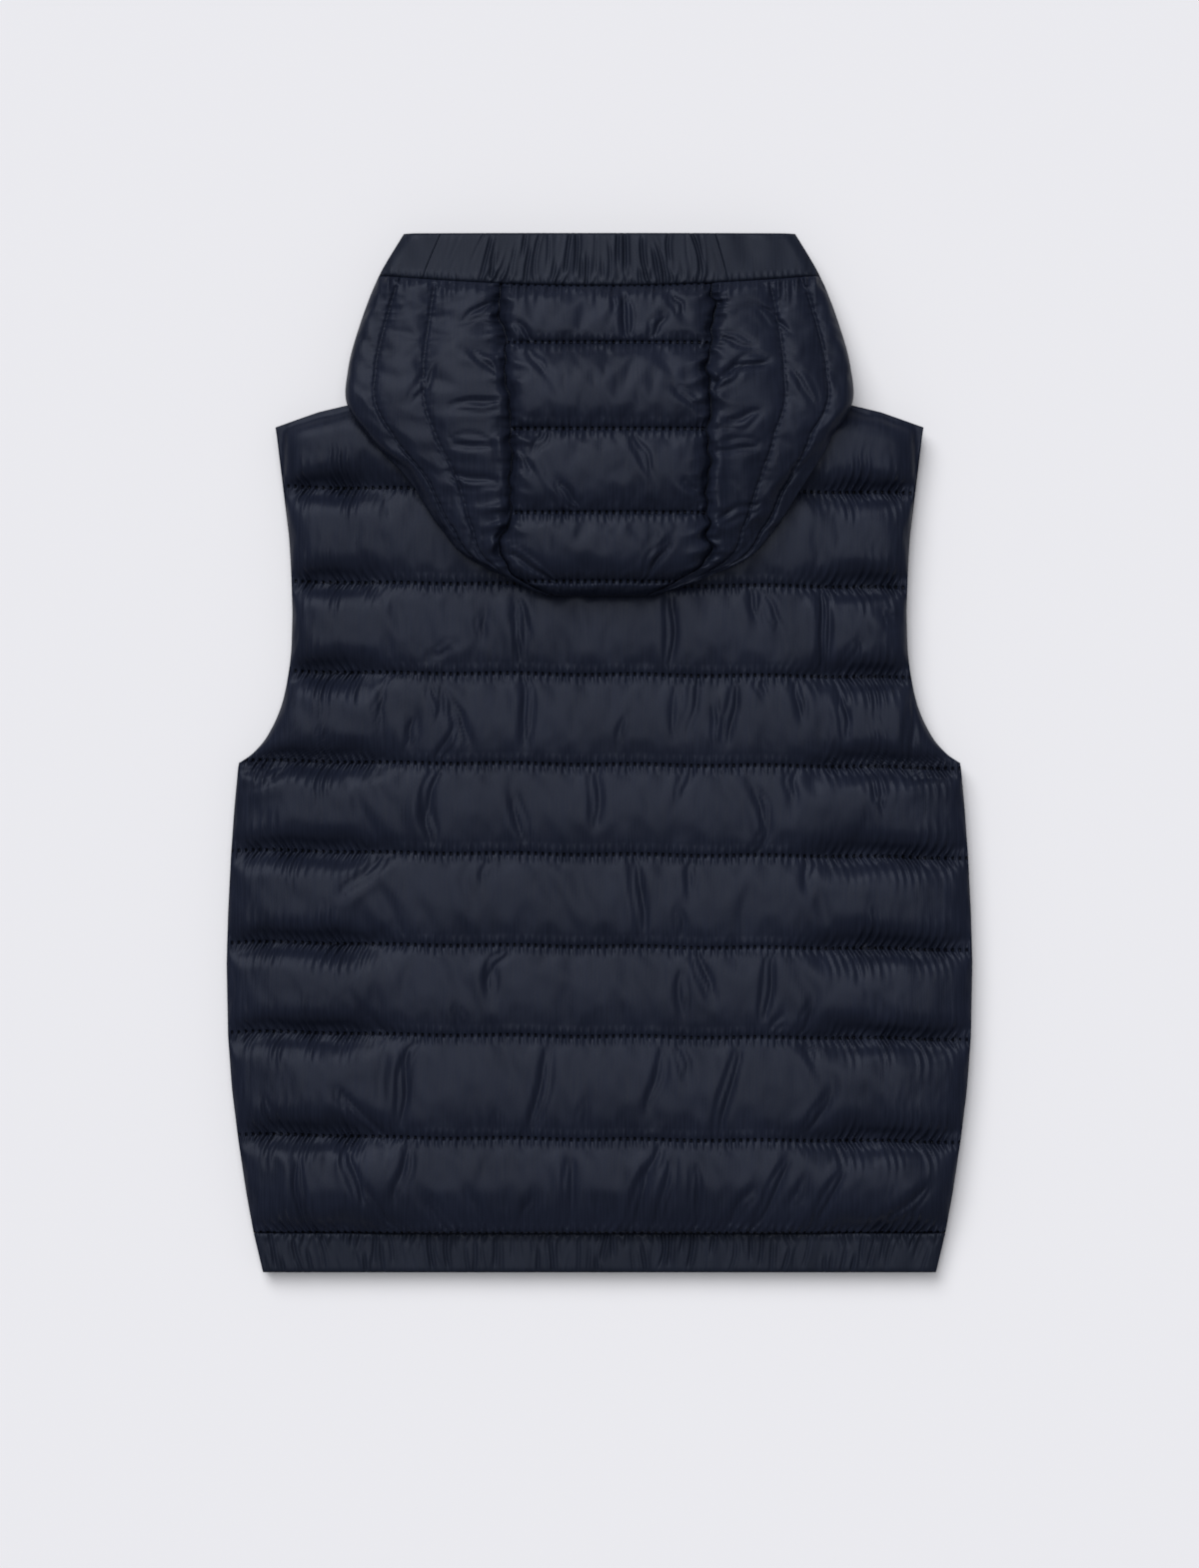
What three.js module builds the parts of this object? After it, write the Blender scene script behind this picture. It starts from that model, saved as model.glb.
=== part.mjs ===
// A child's quilted vest laid flat on its front, back up, with the hood turned down on the back.
// Millimetres. +X is the right of the picture, +Y runs from the hem to the hood, +Z is up.
import * as THREE from 'three';
import { mergeVertices } from 'three/addons/utils/BufferGeometryUtils.js';

// Gap kept between two pieces at a seam or where they lie on each other
const GAP = 0.3;

// Heights of the layers over the surface that the vest lies on
const FRONT_THICK = 12;
const BACK_EDGE_THICK = 2.2;
const BACK_STITCH_RISE = 1.2;
const BACK_PUFF = 8.8;
const BACK_CREST = FRONT_THICK + GAP + BACK_EDGE_THICK + BACK_STITCH_RISE + BACK_PUFF;
const HOOD_REST = BACK_CREST + GAP;

// The upper side falls to the side seam over this width, and to the armhole over the smaller one
const SIDE_FALL = 50;
const ARMHOLE_FALL = 20;
const FALL_CHANGES = { from: -30, over: 50 };

// Half width of the body from the hem to the tip of the shoulder
const BODY_SIDE = [
  { y: -294.1, half: 191.0 },
  { y: -271.5, half: 196.3 },
  { y: -217.8, half: 204.8 },
  { y: -159.6, half: 210.5 },
  { y: -118.9, half: 211.3 },
  { y: -56.8, half: 208.8 },
  { y: -4.8, half: 204.5 },
  { y: -2.0, half: 198.9 },
  { y: 8.2, half: 189.3 },
  { y: 18.4, half: 183.6 },
  { y: 28.5, half: 179.7 },
  { y: 48.9, half: 175.7 },
  { y: 79.4, half: 174.0 },
  { y: 120.1, half: 175.7 },
  { y: 149.4, half: 178.4 },
];

// Shoulder seam and neck, the same on both sides: the back's neck is high and the front's is low
const SHOULDER_TIP = 183.6;
const NECK_POINT = 78;
const TOP_EDGE = [
  { x: 0, back: 183.3, front: 134.0 },
  { x: 26, back: 186.2, front: 141.0 },
  { x: 52, back: 194.0, front: 163.0 },
  { x: NECK_POINT, back: 204.8, front: 204.8 },
  { x: 110, back: 201.2, front: 201.2 },
  { x: 142.4, back: 197.5, front: 197.5 },
  { x: 159.3, back: 193.5, front: 193.5 },
  { x: SHOULDER_TIP, back: 185.0, front: 185.0 },
];

// Quilt lines across the body, from the highest to the seam of the hem band
const QUILT_LINES = [149.4, 95.8, 44.9, -5.9, -56.8, -108.8, -159.6, -217.8, -271.5];
const HEM_SEAM = -271.5;
const HEM_EDGE = -294.1;
const HEM_SLOPE_START = -245;
const HEM_SEAM_LEVEL = 8.0;
const HEM_EDGE_LEVEL = 7.2;

// Largest folds in the back's puffs: row of quilting counted from the shoulders, place across at
// the upper and lower end, where these ends lie in the row, and the depth
const FOLDS = [
  { row: 2, at: -46, to: -41, up: 0.19, low: 0.51, depth: 3.0 },
  { row: 2, at: 40, to: 40, up: 0.17, low: 0.83, depth: 2.6 },
  { row: 2, at: 126, to: 126, up: 0.13, low: 0.89, depth: 2.6 },
  { row: 3, at: -42, to: -42, up: 0.06, low: 0.7, depth: 3.2 },
  { row: 3, at: -82, to: -92, up: 0.5, low: 0.95, depth: 2.6 },
  { row: 3, at: 77, to: 72, up: 0.18, low: 0.7, depth: 3.0 },
  { row: 3, at: 177, to: 175, up: 0.28, low: 1.0, depth: 3.4 },
  { row: 4, at: -90, to: -97, up: 0.0, low: 0.84, depth: 3.6 },
  { row: 4, at: -3, to: -2, up: 0.03, low: 0.61, depth: 3.0 },
  { row: 4, at: 89, to: 94, up: 0.3, low: 0.7, depth: 2.6 },
  { row: 5, at: -121, to: -144, up: 0.0, low: 0.38, depth: 3.2 },
  { row: 5, at: 20, to: 24, up: 0.08, low: 0.88, depth: 3.2 },
  { row: 6, at: -52, to: -62, up: 0.07, low: 0.5, depth: 3.2 },
  { row: 6, at: 54, to: 63, up: 0.11, low: 0.53, depth: 3.2 },
  { row: 6, at: 97, to: 93, up: 0.14, low: 0.78, depth: 3.0 },
  { row: 7, at: -103, to: -112, up: 0.08, low: 0.79, depth: 3.6 },
  { row: 7, at: -29, to: -39, up: 0.17, low: 0.92, depth: 3.4 },
  { row: 7, at: -147, to: -123, up: 0.58, low: 0.99, depth: 3.4 },
  { row: 7, at: 36, to: 28, up: 0.17, low: 0.65, depth: 3.0 },
  { row: 7, at: 79, to: 67, up: 0.17, low: 0.96, depth: 3.4 },
  { row: 8, at: -144, to: -135, up: 0.1, low: 0.65, depth: 3.0 },
  { row: 8, at: -107, to: -118, up: 0.1, low: 0.92, depth: 3.6 },
  { row: 8, at: 37, to: 20, up: 0.03, low: 0.92, depth: 3.6 },
  { row: 8, at: 137, to: 123, up: 0.4, low: 0.88, depth: 3.4 },
  { row: 8, at: 184, to: 159, up: 0.55, low: 0.92, depth: 3.2 },
];
const FOLD_WIDTH = 8;

// The hood, from the fold at its bottom to its mouth: half width, the crown's seam on each side,
// and the height of the folded layers under it at the edge and in the middle
const HOOD = [
  { y: 89.0, half: 30.0, seamLeft: 26, seamRight: 26, edge: 30, mid: 31.0 },
  { y: 94.0, half: 42.0, seamLeft: 38, seamRight: 38, edge: 31, mid: 34.5 },
  { y: 100.3, half: 54.8, seamLeft: 49, seamRight: 50, edge: 31, mid: 37.0 },
  { y: 108.8, half: 71.8, seamLeft: 54, seamRight: 60, edge: 31, mid: 39.0 },
  { y: 128.0, half: 90.4, seamLeft: 52, seamRight: 61, edge: 31, mid: 40.5 },
  { y: 154.0, half: 107.4, seamLeft: 50, seamRight: 61, edge: 31, mid: 41.0 },
  { y: 178.3, half: 130.0, seamLeft: 50, seamRight: 62, edge: 31, mid: 41.0 },
  { y: 196.9, half: 142.4, seamLeft: 50, seamRight: 62, edge: 30, mid: 40.0 },
  { y: 216.1, half: 142.1, seamLeft: 52, seamRight: 62, edge: 26, mid: 37.0 },
  { y: 243.2, half: 135.3, seamLeft: 54, seamRight: 63, edge: 21, mid: 30.0 },
  { y: 270.4, half: 124.6, seamLeft: 56, seamRight: 63, edge: 20.0, mid: 25.5 },
  { y: 294.1, half: 110.7, seamLeft: 52, seamRight: 57, edge: 19.5, mid: 21.5 },
];
const HOOD_BOTTOM = 89.0;
const HOOD_MOUTH = 294.1;
const HOOD_NECK_END = 139.4;
const HOOD_SEAM = 270.4;
const HOOD_SEAM_DIP = 6.3;
const HOOD_INSET = 3;
const HOOD_SEAM_GAP = 0.5;
const HOOD_CROWDING = 0.4;
const HOOD_EDGE_DROP = 3;
const HOOD_EDGE_REACH = 8;
const CROWN_LINES = [89.0, 96.9, 135.3, 182.2, 231.4];
const SIDE_LINES = [0, 0.52, 0.82, 1];
const HOOD_STITCH = 3.2;
const SIDE_EDGE_THICK = 2.2;
const CROWN_PUFF = 6.2;
const SIDE_PUFF = 5.0;
const SEAM_REACH = 10;
const NAPE_REACH = 20;
const NAPE_LOFT = 0.4;
const SIDE_NAPE_REACH = 30;

// Where the band of the hood is joined, as a share of the side panel's width
const BAND_JOIN_LEFT = 0.64;
const BAND_JOIN_RIGHT = 0.15;

// Gathers along the two elastic bands
const HEM_GATHERS = 66;
const HOOD_GATHERS = 34;
const POINTS_A_GATHER = 4;
const GATHER_DEPTH = 0.8;

// Cloth of the bands: thin at a seam or an edge, thick over the elastic
const BAND_THICK = 3.0;
const BAND_EDGE_THICK = 1.6;
const BAND_EDGE_REACH = 6;
const BAND_EDGE_WAVES = 0.4;
const HEM_BAND_ROWS = [
  { y: HEM_EDGE, thick: 1.6, waves: 0.4 },
  { y: HEM_EDGE + 2.5, thick: 2.8, waves: 1 },
  { y: HEM_EDGE + 11, thick: 3.2, waves: 1 },
  { y: HEM_SEAM - 3, thick: 2.8, waves: 1 },
  { y: HEM_SEAM - GAP, thick: 2.0, waves: 0.6 },
];
const HEM_BAND_END = { thick: 1, reach: 8 };

// Front zip, recessed between the fronts
const ZIP_EDGE = 9;
const ZIP_INSET = 1;
const TAPE = { half: 8.7, low: 3.6, high: 4.6 };
const TEETH = { half: 3.0, low: 2.0 };
const ZIP_COVER = TAPE.high + GAP;
const SLIDER = { y: 118, length: 13, half: 4.5, nose: 3, widest: 0.6, low: 0.3, high: 1.7 };

// Rows in one puff, closer together beside its two stitch lines
const PUFF_STEPS = [0, 0.07, 0.2, 0.5, 0.8, 0.93, 1];
const HOOD_STEPS = [0, 0.12, 0.5, 0.88, 1];
const SIDE_STEPS = [0, 0.14, 0.5, 0.86, 1];
const BACK_COLUMNS = 54;

const cloth = new THREE.MeshStandardMaterial({ color: 0x292d38, roughness: 0.45, metalness: 0 });
const bandCloth = new THREE.MeshStandardMaterial({ color: 0x23262f, roughness: 0.55, metalness: 0 });
const innerCloth = new THREE.MeshStandardMaterial({ color: 0x1f222b, roughness: 0.6, metalness: 0 });
const tape = new THREE.MeshStandardMaterial({ color: 0x1c1f27, roughness: 0.7, metalness: 0 });
const metal = new THREE.MeshStandardMaterial({ color: 0x3a3d44, roughness: 0.4, metalness: 0.8 });

const mix = (a, b, t) => a + (b - a) * t;
const clamp01 = (t) => Math.min(1, Math.max(0, t));

// Straight-line value of one column of a table at a place along another
function lookUp(table, key, place, column) {
  let i = 1;
  while (i < table.length - 1 && table[i][key] < place) i += 1;
  const low = table[i - 1];
  const high = table[i];
  return mix(low[column], high[column], clamp01((place - low[key]) / (high[key] - low[key])));
}

// The same along a smooth curve through the rows of the hood's table
function hoodAt(y, column) {
  let i = 1;
  while (i < HOOD.length - 1 && HOOD[i].y < y) i += 1;
  const [p, q] = [HOOD[i - 1], HOOD[i]];
  const before = HOOD[Math.max(i - 2, 0)];
  const after = HOOD[Math.min(i + 1, HOOD.length - 1)];
  const span = q.y - p.y;
  const t = clamp01((y - p.y) / span);
  const leave = ((q[column] - before[column]) / (q.y - before.y)) * span;
  const reach = ((after[column] - p[column]) / (after.y - p.y)) * span;
  const t2 = t * t;
  const t3 = t2 * t;
  return (2 * t3 - 3 * t2 + 1) * p[column] + (t3 - 2 * t2 + t) * leave
    + (3 * t2 - 2 * t3) * q[column] + (t3 - t2) * reach;
}

const halfWidth = (y) => lookUp(BODY_SIDE, 'y', y, 'half');
const topEdge = (x, side) => lookUp(TOP_EDGE, 'x', Math.abs(x), side);

// Top of the fronts, which the back lies on: level, and falling to the hem
function frontTop(y) {
  if (y >= HEM_SLOPE_START) return FRONT_THICK;
  if (y >= HEM_SEAM) {
    return mix(HEM_SEAM_LEVEL, FRONT_THICK, (y - HEM_SEAM) / (HEM_SLOPE_START - HEM_SEAM));
  }
  return mix(HEM_EDGE_LEVEL, HEM_SEAM_LEVEL, (y - HEM_EDGE) / (HEM_SEAM - HEM_EDGE));
}

// Round cross-section of a puff between two stitch lines, and of an edge that falls away
const puffShape = (t) => 1 - Math.abs(2 * t - 1) ** 3;
const edgeShape = (distance, reach) => Math.sqrt(1 - (1 - clamp01(distance / reach)) ** 2);

// A grid is a list of rows of points; its four sides run round it in one direction
function gridSides(grid) {
  const last = grid.length - 1;
  const right = grid[0].length - 1;
  return [
    grid[0].map((point) => ({ point, at: point[0] })),
    grid.map((row) => ({ point: row[right], at: row[right][1] })),
    [...grid[last]].reverse().map((point) => ({ point, at: -point[0] })),
    [...grid].reverse().map((row) => ({ point: row[0], at: -row[0][1] })),
  ].map((side) => {
    const start = side[0].at;
    const length = side[side.length - 1].at - start;
    return side.map(({ point, at }) => ({ point, at: (at - start) / length }));
  });
}

function addGrid(triangles, grid, upward) {
  for (let r = 0; r < grid.length - 1; r += 1) {
    for (let c = 0; c < grid[r].length - 1; c += 1) {
      const [a, b] = [grid[r][c], grid[r][c + 1]];
      const [d, e] = [grid[r + 1][c], grid[r + 1][c + 1]];
      if (upward) triangles.push(a, b, e, a, e, d);
      else triangles.push(a, e, b, a, d, e);
    }
  }
}

// Joins one side of the upper loop to the same side of the lower loop
function addStrip(triangles, upper, lower) {
  let i = 0;
  let j = 0;
  while (i < upper.length - 1 || j < lower.length - 1) {
    const nextUpper = i < upper.length - 1 ? upper[i + 1].at : Infinity;
    const nextLower = j < lower.length - 1 ? lower[j + 1].at : Infinity;
    if (nextUpper <= nextLower + 1e-6) {
      triangles.push(upper[i].point, lower[j].point, upper[i + 1].point);
      i += 1;
    } else {
      triangles.push(upper[i].point, lower[j].point, lower[j + 1].point);
      j += 1;
    }
  }
}

// Point of a side at a share of its length
function alongSide(side, at) {
  let i = 1;
  while (i < side.length - 1 && side[i].at < at) i += 1;
  const t = clamp01((at - side[i - 1].at) / Math.max(1e-9, side[i].at - side[i - 1].at));
  return side[i].point.map((value, axis) => mix(side[i - 1].point[axis], value, t));
}

// A loop between the upper and the lower one, at a share of the height and moved out in plan
const OUTWARD = [[0, -1], [1, 0], [0, 1], [-1, 0]];
function rimLoop(upperSides, lowerSides, { share, out }) {
  return upperSides.map((side, i) => side.map(({ point, at }, n) => {
    const next = n === side.length - 1 ? OUTWARD[(i + 1) % 4] : OUTWARD[(i + 3) % 4];
    const corner = n === 0 || n === side.length - 1 ? next : [0, 0];
    const below = alongSide(lowerSides[i], at);
    return {
      at,
      point: [
        mix(point[0], below[0], share) + out * (OUTWARD[i][0] + corner[0]),
        mix(point[1], below[1], share) + out * (OUTWARD[i][1] + corner[1]),
        mix(point[2], below[2], share),
      ],
    };
  }));
}

// Edge of a folded stack: three rounded layers with a groove between each two
const LAYERED_RIM = [
  { share: 0.16, out: 1.2 },
  { share: 0.33, out: -0.6 },
  { share: 0.5, out: 1.2 },
  { share: 0.67, out: -0.6 },
  { share: 0.84, out: 1.2 },
];

// A closed piece of cloth between an upper and a lower grid, whose rows run from low to high Y
function clothPiece(name, material, upper, lower, rim = []) {
  const triangles = [];
  addGrid(triangles, upper, true);
  addGrid(triangles, lower, false);
  const upperSides = gridSides(upper);
  const lowerSides = gridSides(lower);
  const loops = [upperSides, ...rim.map((loop) => rimLoop(upperSides, lowerSides, loop)), lowerSides];
  for (let n = 1; n < loops.length; n += 1) {
    loops[n - 1].forEach((side, i) => addStrip(triangles, side, loops[n][i]));
  }
  const geometry = new THREE.BufferGeometry();
  geometry.setAttribute('position', new THREE.Float32BufferAttribute(triangles.flat(), 3));
  return namedMesh(name, mergeVertices(geometry, 1e-3), material);
}

function namedMesh(name, geometry, material) {
  geometry.computeVertexNormals();
  const mesh = new THREE.Mesh(geometry, material);
  mesh.name = name;
  return mesh;
}

// Places from -1 to 1 along a row, closer together towards both ends
function spacedColumns(count, crowding = 0.25) {
  return evenSteps(-1, 1, count).map((w) => w * (1 + crowding * (1 - w * w)));
}

// Even steps from one value to another
function evenSteps(from, to, count) {
  return Array.from({ length: count + 1 }, (_, i) => mix(from, to, i / count));
}

// Point of a panel of the body: u across, row and t down a row of quilting from its upper line.
// Row 0 lies between the top edge and the first quilt line.
function bodySpot(u, row, t, side) {
  if (row === 0) {
    const x = mix(SHOULDER_TIP, halfWidth(QUILT_LINES[0]), t) * u;
    return [x, mix(topEdge(u * SHOULDER_TIP, side), QUILT_LINES[0], t)];
  }
  const y = mix(QUILT_LINES[row - 1], QUILT_LINES[row], t);
  return [u * halfWidth(y), y];
}

// How deep the folds cut into the puff at a point
function foldDepth(x, y) {
  let depth = 0;
  for (const fold of FOLDS) {
    const upper = QUILT_LINES[fold.row - 1];
    const lower = QUILT_LINES[fold.row];
    const start = [fold.at, mix(upper, lower, fold.up)];
    const end = [fold.to, mix(upper, lower, fold.low)];
    const along = [end[0] - start[0], end[1] - start[1]];
    const length2 = along[0] ** 2 + along[1] ** 2;
    const t = clamp01(((x - start[0]) * along[0] + (y - start[1]) * along[1]) / length2);
    const away = Math.hypot(x - start[0] - along[0] * t, y - start[1] - along[1] * t);
    depth = Math.max(depth, fold.depth * Math.exp(-((away / FOLD_WIDTH) ** 2)));
  }
  return depth;
}

function backTop(x, y, t) {
  const reach = mix(SIDE_FALL, ARMHOLE_FALL, clamp01((y - FALL_CHANGES.from) / FALL_CHANGES.over));
  const fall = edgeShape(halfWidth(y) - Math.abs(x), reach);
  const puff = puffShape(t) * Math.max(0, BACK_PUFF - foldDepth(x, y));
  return frontTop(y) + GAP + BACK_EDGE_THICK + fall * (BACK_STITCH_RISE + puff);
}

function makeBack() {
  const columns = spacedColumns(BACK_COLUMNS);
  const upper = [];
  for (let row = QUILT_LINES.length - 1; row >= 0; row -= 1) {
    const steps = [...PUFF_STEPS].reverse();
    if (row < QUILT_LINES.length - 1) steps.shift();
    for (const t of steps) {
      upper.push(columns.map((u) => {
        const [x, y] = bodySpot(u, row, t, 'back');
        return [x, y, backTop(x, y, t)];
      }));
    }
  }
  const knots = TOP_EDGE.map((knot) => knot.x / SHOULDER_TIP);
  const coarse = [...knots.slice(1).map((u) => -u).reverse(), ...knots];
  const lower = [];
  for (const y of [...BODY_SIDE.map((row) => row.y), HEM_SLOPE_START].sort((a, b) => a - b)) {
    if (y < HEM_SEAM || y >= QUILT_LINES[0]) continue;
    lower.push(coarse.map((u) => [u * halfWidth(y), y, frontTop(y) + GAP]));
  }
  for (const t of [1, 0.5, 0]) {
    lower.push(coarse.map((u) => [...bodySpot(u, 0, t, 'back'), FRONT_THICK + GAP]));
  }
  return clothPiece('back', cloth, upper, lower);
}

// The fronts lie flat on the surface and round up at their edges. A station is a place across:
// so far from the zip's edge or from the side, with its place on the top edge and its height.
const FRONT_STATIONS = [
  { fromZip: GAP / 2, top: GAP / 2, low: ZIP_COVER },
  { fromZip: ZIP_EDGE, top: 9, low: ZIP_COVER },
  { fromZip: ZIP_EDGE + 0.1, top: 9.1, low: 2.6 },
  { fromZip: ZIP_EDGE + 3, top: 12, low: 0.7 },
  { fromZip: ZIP_EDGE + 7, top: 16, low: 0 },
  { fromSide: 150, top: 26, low: 0 },
  { fromSide: 110, top: 52, low: 0 },
  { fromSide: 70, top: 78, low: 0 },
  { fromSide: 40, top: 110, low: 0 },
  { fromSide: 14, top: 142.4, low: 0 },
  { fromSide: 7, top: 159.3, low: 1.2 },
  { fromSide: 2, top: 174, low: 4.0 },
  { fromSide: 0, top: SHOULDER_TIP, low: 8.5 },
];

// Rows of the fronts above the highest level one, up to the neck and the shoulder seam
const FRONT_TOP_START = 120.1;
const FRONT_TOP_ROWS = [
  { share: 0.5, low: 0 },
  { share: 0.85, low: 0 },
  { share: 1, low: 8.5 },
];
const FRONT_EDGE_THICK = 2;

const fromFrontEdge = (station, y) => station.fromZip ?? halfWidth(y) - station.fromSide;

// Upper and lower row of points of a front at one height
function frontRow(stations, side, y) {
  const highest = frontTop(y) - FRONT_EDGE_THICK;
  return {
    upper: stations.map((s) => [side * fromFrontEdge(s, y), y, frontTop(y)]),
    lower: stations.map((s) => [side * fromFrontEdge(s, y), y, Math.min(s.low, highest)]),
  };
}

function makeFront(name, side) {
  const stations = side < 0 ? [...FRONT_STATIONS].reverse() : FRONT_STATIONS;
  const levels = [...BODY_SIDE.map((row) => row.y), HEM_SLOPE_START].sort((a, b) => a - b);
  const rows = levels.filter((y) => y >= HEM_SEAM && y <= FRONT_TOP_START)
    .map((y) => frontRow(stations, side, y));
  for (const { share, low } of FRONT_TOP_ROWS) {
    const spots = stations.map((s) => [
      side * mix(fromFrontEdge(s, FRONT_TOP_START), s.top, share),
      mix(FRONT_TOP_START, topEdge(s.top, 'front'), share),
    ]);
    rows.push({
      upper: spots.map((spot) => [...spot, FRONT_THICK]),
      lower: spots.map((spot, i) => [...spot, Math.max(low, stations[i].low)]),
    });
  }
  return clothPiece(name, innerCloth, rows.map((row) => row.upper), rows.map((row) => row.lower));
}

function makeFrontHemBand(name, side) {
  const stations = side < 0 ? [...FRONT_STATIONS].reverse() : FRONT_STATIONS;
  const rows = [HEM_EDGE, HEM_SEAM - GAP].map((y) => frontRow(stations, side, y));
  return clothPiece(name, bandCloth, rows.map((row) => row.upper), rows.map((row) => row.lower));
}

// Height of one gather: a wave of uneven strength along a band
function gather(count, along) {
  const turns = along * count;
  const strength = 0.7 + 0.3 * Math.sin(turns * 2.4);
  return GATHER_DEPTH * strength * Math.cos(turns * 2 * Math.PI);
}

function makeBackHemBand() {
  const { thick: endThick, reach } = HEM_BAND_END;
  const columns = evenSteps(0, 1, HEM_GATHERS * POINTS_A_GATHER);
  const upper = HEM_BAND_ROWS.map(({ y, thick, waves }) => columns.map((c) => {
    const x = mix(-1, 1, c) * halfWidth(y);
    const fall = edgeShape(halfWidth(y) - Math.abs(x) + endThick, reach);
    const over = fall * (thick - endThick + waves * gather(HEM_GATHERS, c));
    return [x, y, frontTop(y) + GAP + endThick + over];
  }));
  const lower = [HEM_EDGE, HEM_SEAM - GAP].map((y) => evenSteps(-1, 1, 4)
    .map((u) => [u * halfWidth(y), y, frontTop(y) + GAP]));
  return clothPiece('hem_band_back', bandCloth, upper, lower);
}

// Knots of the neck and shoulders that the folded layers of the hood meet, both sides
const neckKnots = TOP_EDGE.map((knot) => knot.x).filter((x) => x < HOOD_NECK_END);
const halfKnots = [...neckKnots, HOOD_NECK_END - HOOD_INSET, HOOD_NECK_END];
const hoodKnots = [...halfKnots.slice(1).map((x) => -x).reverse(), ...halfKnots];
const underRow = (y, z) => hoodKnots.map((x) => {
  const scale = (hoodAt(y, 'half') - HOOD_INSET) / HOOD_NECK_END;
  return [x * scale, y, z];
});
const neckRow = (side, z) => hoodKnots.map((x) => [x, topEdge(x, side) + GAP, z]);

// Rows of the layers that lie on the back, and of those beyond the shoulders
const ON_BACK_ROWS = [HOOD_BOTTOM + HOOD_INSET, 100.3, 108.8, 128.0, 154.0, 174.0];
const BEYOND_ROWS = [216.1, 243.2, 270.4, HOOD_MOUTH - HOOD_INSET];

// Height to which the lowest layer rounds up at its edges
const CHIN_ROUND = 4;

// The hood's front part, which runs from the front neck to the mouth under everything else
function makeHoodChin() {
  const atEnd = (row, i) => i === 0 || i === row.length - 1;
  const roundUp = (row) => row.map(([x, y, z], i) => [x, y, atEnd(row, i) ? CHIN_ROUND : z]);
  const upper = [neckRow('front', FRONT_THICK), ...BEYOND_ROWS.map((y) => underRow(y, FRONT_THICK))];
  const mouth = HOOD_MOUTH - HOOD_INSET;
  const flatRows = [...BEYOND_ROWS.slice(0, -1), mouth - CHIN_ROUND].map((y) => underRow(y, 0));
  const lower = [...[neckRow('front', 0), ...flatRows].map(roundUp), underRow(mouth, CHIN_ROUND)];
  return clothPiece('hood_chin', innerCloth, upper, lower);
}

// The seam of the hood's band dips towards the middle, and rows near it follow
function bowed(x, y) {
  const lastLine = CROWN_LINES[CROWN_LINES.length - 1];
  const share = y <= HOOD_SEAM
    ? clamp01((y - lastLine) / (HOOD_SEAM - lastLine))
    : clamp01((HOOD_MOUTH - y) / (HOOD_MOUTH - HOOD_SEAM));
  return y - HOOD_SEAM_DIP * share * (1 - (x / hoodAt(y, 'half')) ** 2);
}

// Top of the folded layers, on which the hood's outer panels lie
function hoodLevel(x, y) {
  const half = hoodAt(y, 'half');
  const edge = hoodAt(y, 'edge');
  const dome = 1 - Math.min(1, Math.abs(x) / half) ** 2.4;
  const inside = clamp01(Math.min(half - Math.abs(x), y - HOOD_BOTTOM) / HOOD_EDGE_REACH);
  return mix(edge, hoodAt(y, 'mid'), dome) - HOOD_EDGE_DROP * (1 - inside) ** 2;
}

// Places across the hood where its panels and its folded layers share points
const LEFT_SHARES = [1, BAND_JOIN_LEFT, 0.35, 0];
const RIGHT_SHARES = [0, BAND_JOIN_RIGHT, 0.5, 1];
const CROWN_SHARES = [0, 0.2, 0.4, 0.6, 0.8, 1];
const leftPlace = (y, share) => -mix(hoodAt(y, 'seamLeft'), hoodAt(y, 'half'), share);
const rightPlace = (y, share) => mix(hoodAt(y, 'seamRight'), hoodAt(y, 'half'), share);
const crownPlace = (y, share) => mix(-hoodAt(y, 'seamLeft'), hoodAt(y, 'seamRight'), share);

function makeHoodUnder() {
  const rows = HOOD.map((row) => row.y);
  const upper = rows.map((y) => {
    const limit = (share) => hoodAt(y, 'half') - HOOD_INSET - HOOD_CROWDING * (1 - share);
    const spot = (x, share) => [
      Math.sign(x) * Math.min(Math.abs(x), limit(share)), bowed(x, y), hoodLevel(x, y),
    ];
    const row = [
      ...LEFT_SHARES.map((share) => spot(leftPlace(y, share), share)),
      ...CROWN_SHARES.slice(1, -1).map((share) => spot(crownPlace(y, share), 0)),
      ...RIGHT_SHARES.map((share) => spot(rightPlace(y, share), share)),
    ];
    row[0][2] -= 1;
    row[row.length - 1][2] -= 1;
    return row;
  });
  upper[0] = upper[0].map(([x, y, z]) => [x, y + HOOD_INSET, z - 1]);
  upper[upper.length - 1] = upper[upper.length - 1].map(([x, y, z]) => [x, y - HOOD_INSET, z - 1]);
  const lower = [
    ...ON_BACK_ROWS.map((y) => underRow(y, HOOD_REST)),
    neckRow('back', HOOD_REST),
    neckRow('back', FRONT_THICK + GAP),
    ...BEYOND_ROWS.map((y) => underRow(y, FRONT_THICK + GAP)),
  ];
  return clothPiece('hood_under', innerCloth, upper, lower, LAYERED_RIM);
}

// A panel of the hood: its points come from the folded layers below it, moved out. Rows are heights
// and shares are places across; thick gives the cloth's thickness at a place.
function hoodPanel(name, material, { rows, shares, lowRows, lowShares, place, thick }) {
  const spot = (y, share) => {
    const x = place(y, share);
    return [x, bowed(x, y), hoodLevel(x, y) + GAP];
  };
  const lower = lowRows.map((y) => lowShares.map((share) => spot(y, share)));
  const upper = rows.map((y) => shares.map((share) => {
    const [x, rowY, z] = spot(y, share);
    return [x, rowY, z + thick(x, y, share)];
  }));
  return clothPiece(name, material, upper, lower);
}

const tableRows = HOOD.map((row) => row.y).filter((y) => y < HOOD_SEAM);
const lowHoodRows = [...tableRows, HOOD_SEAM - GAP / 2];

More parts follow.
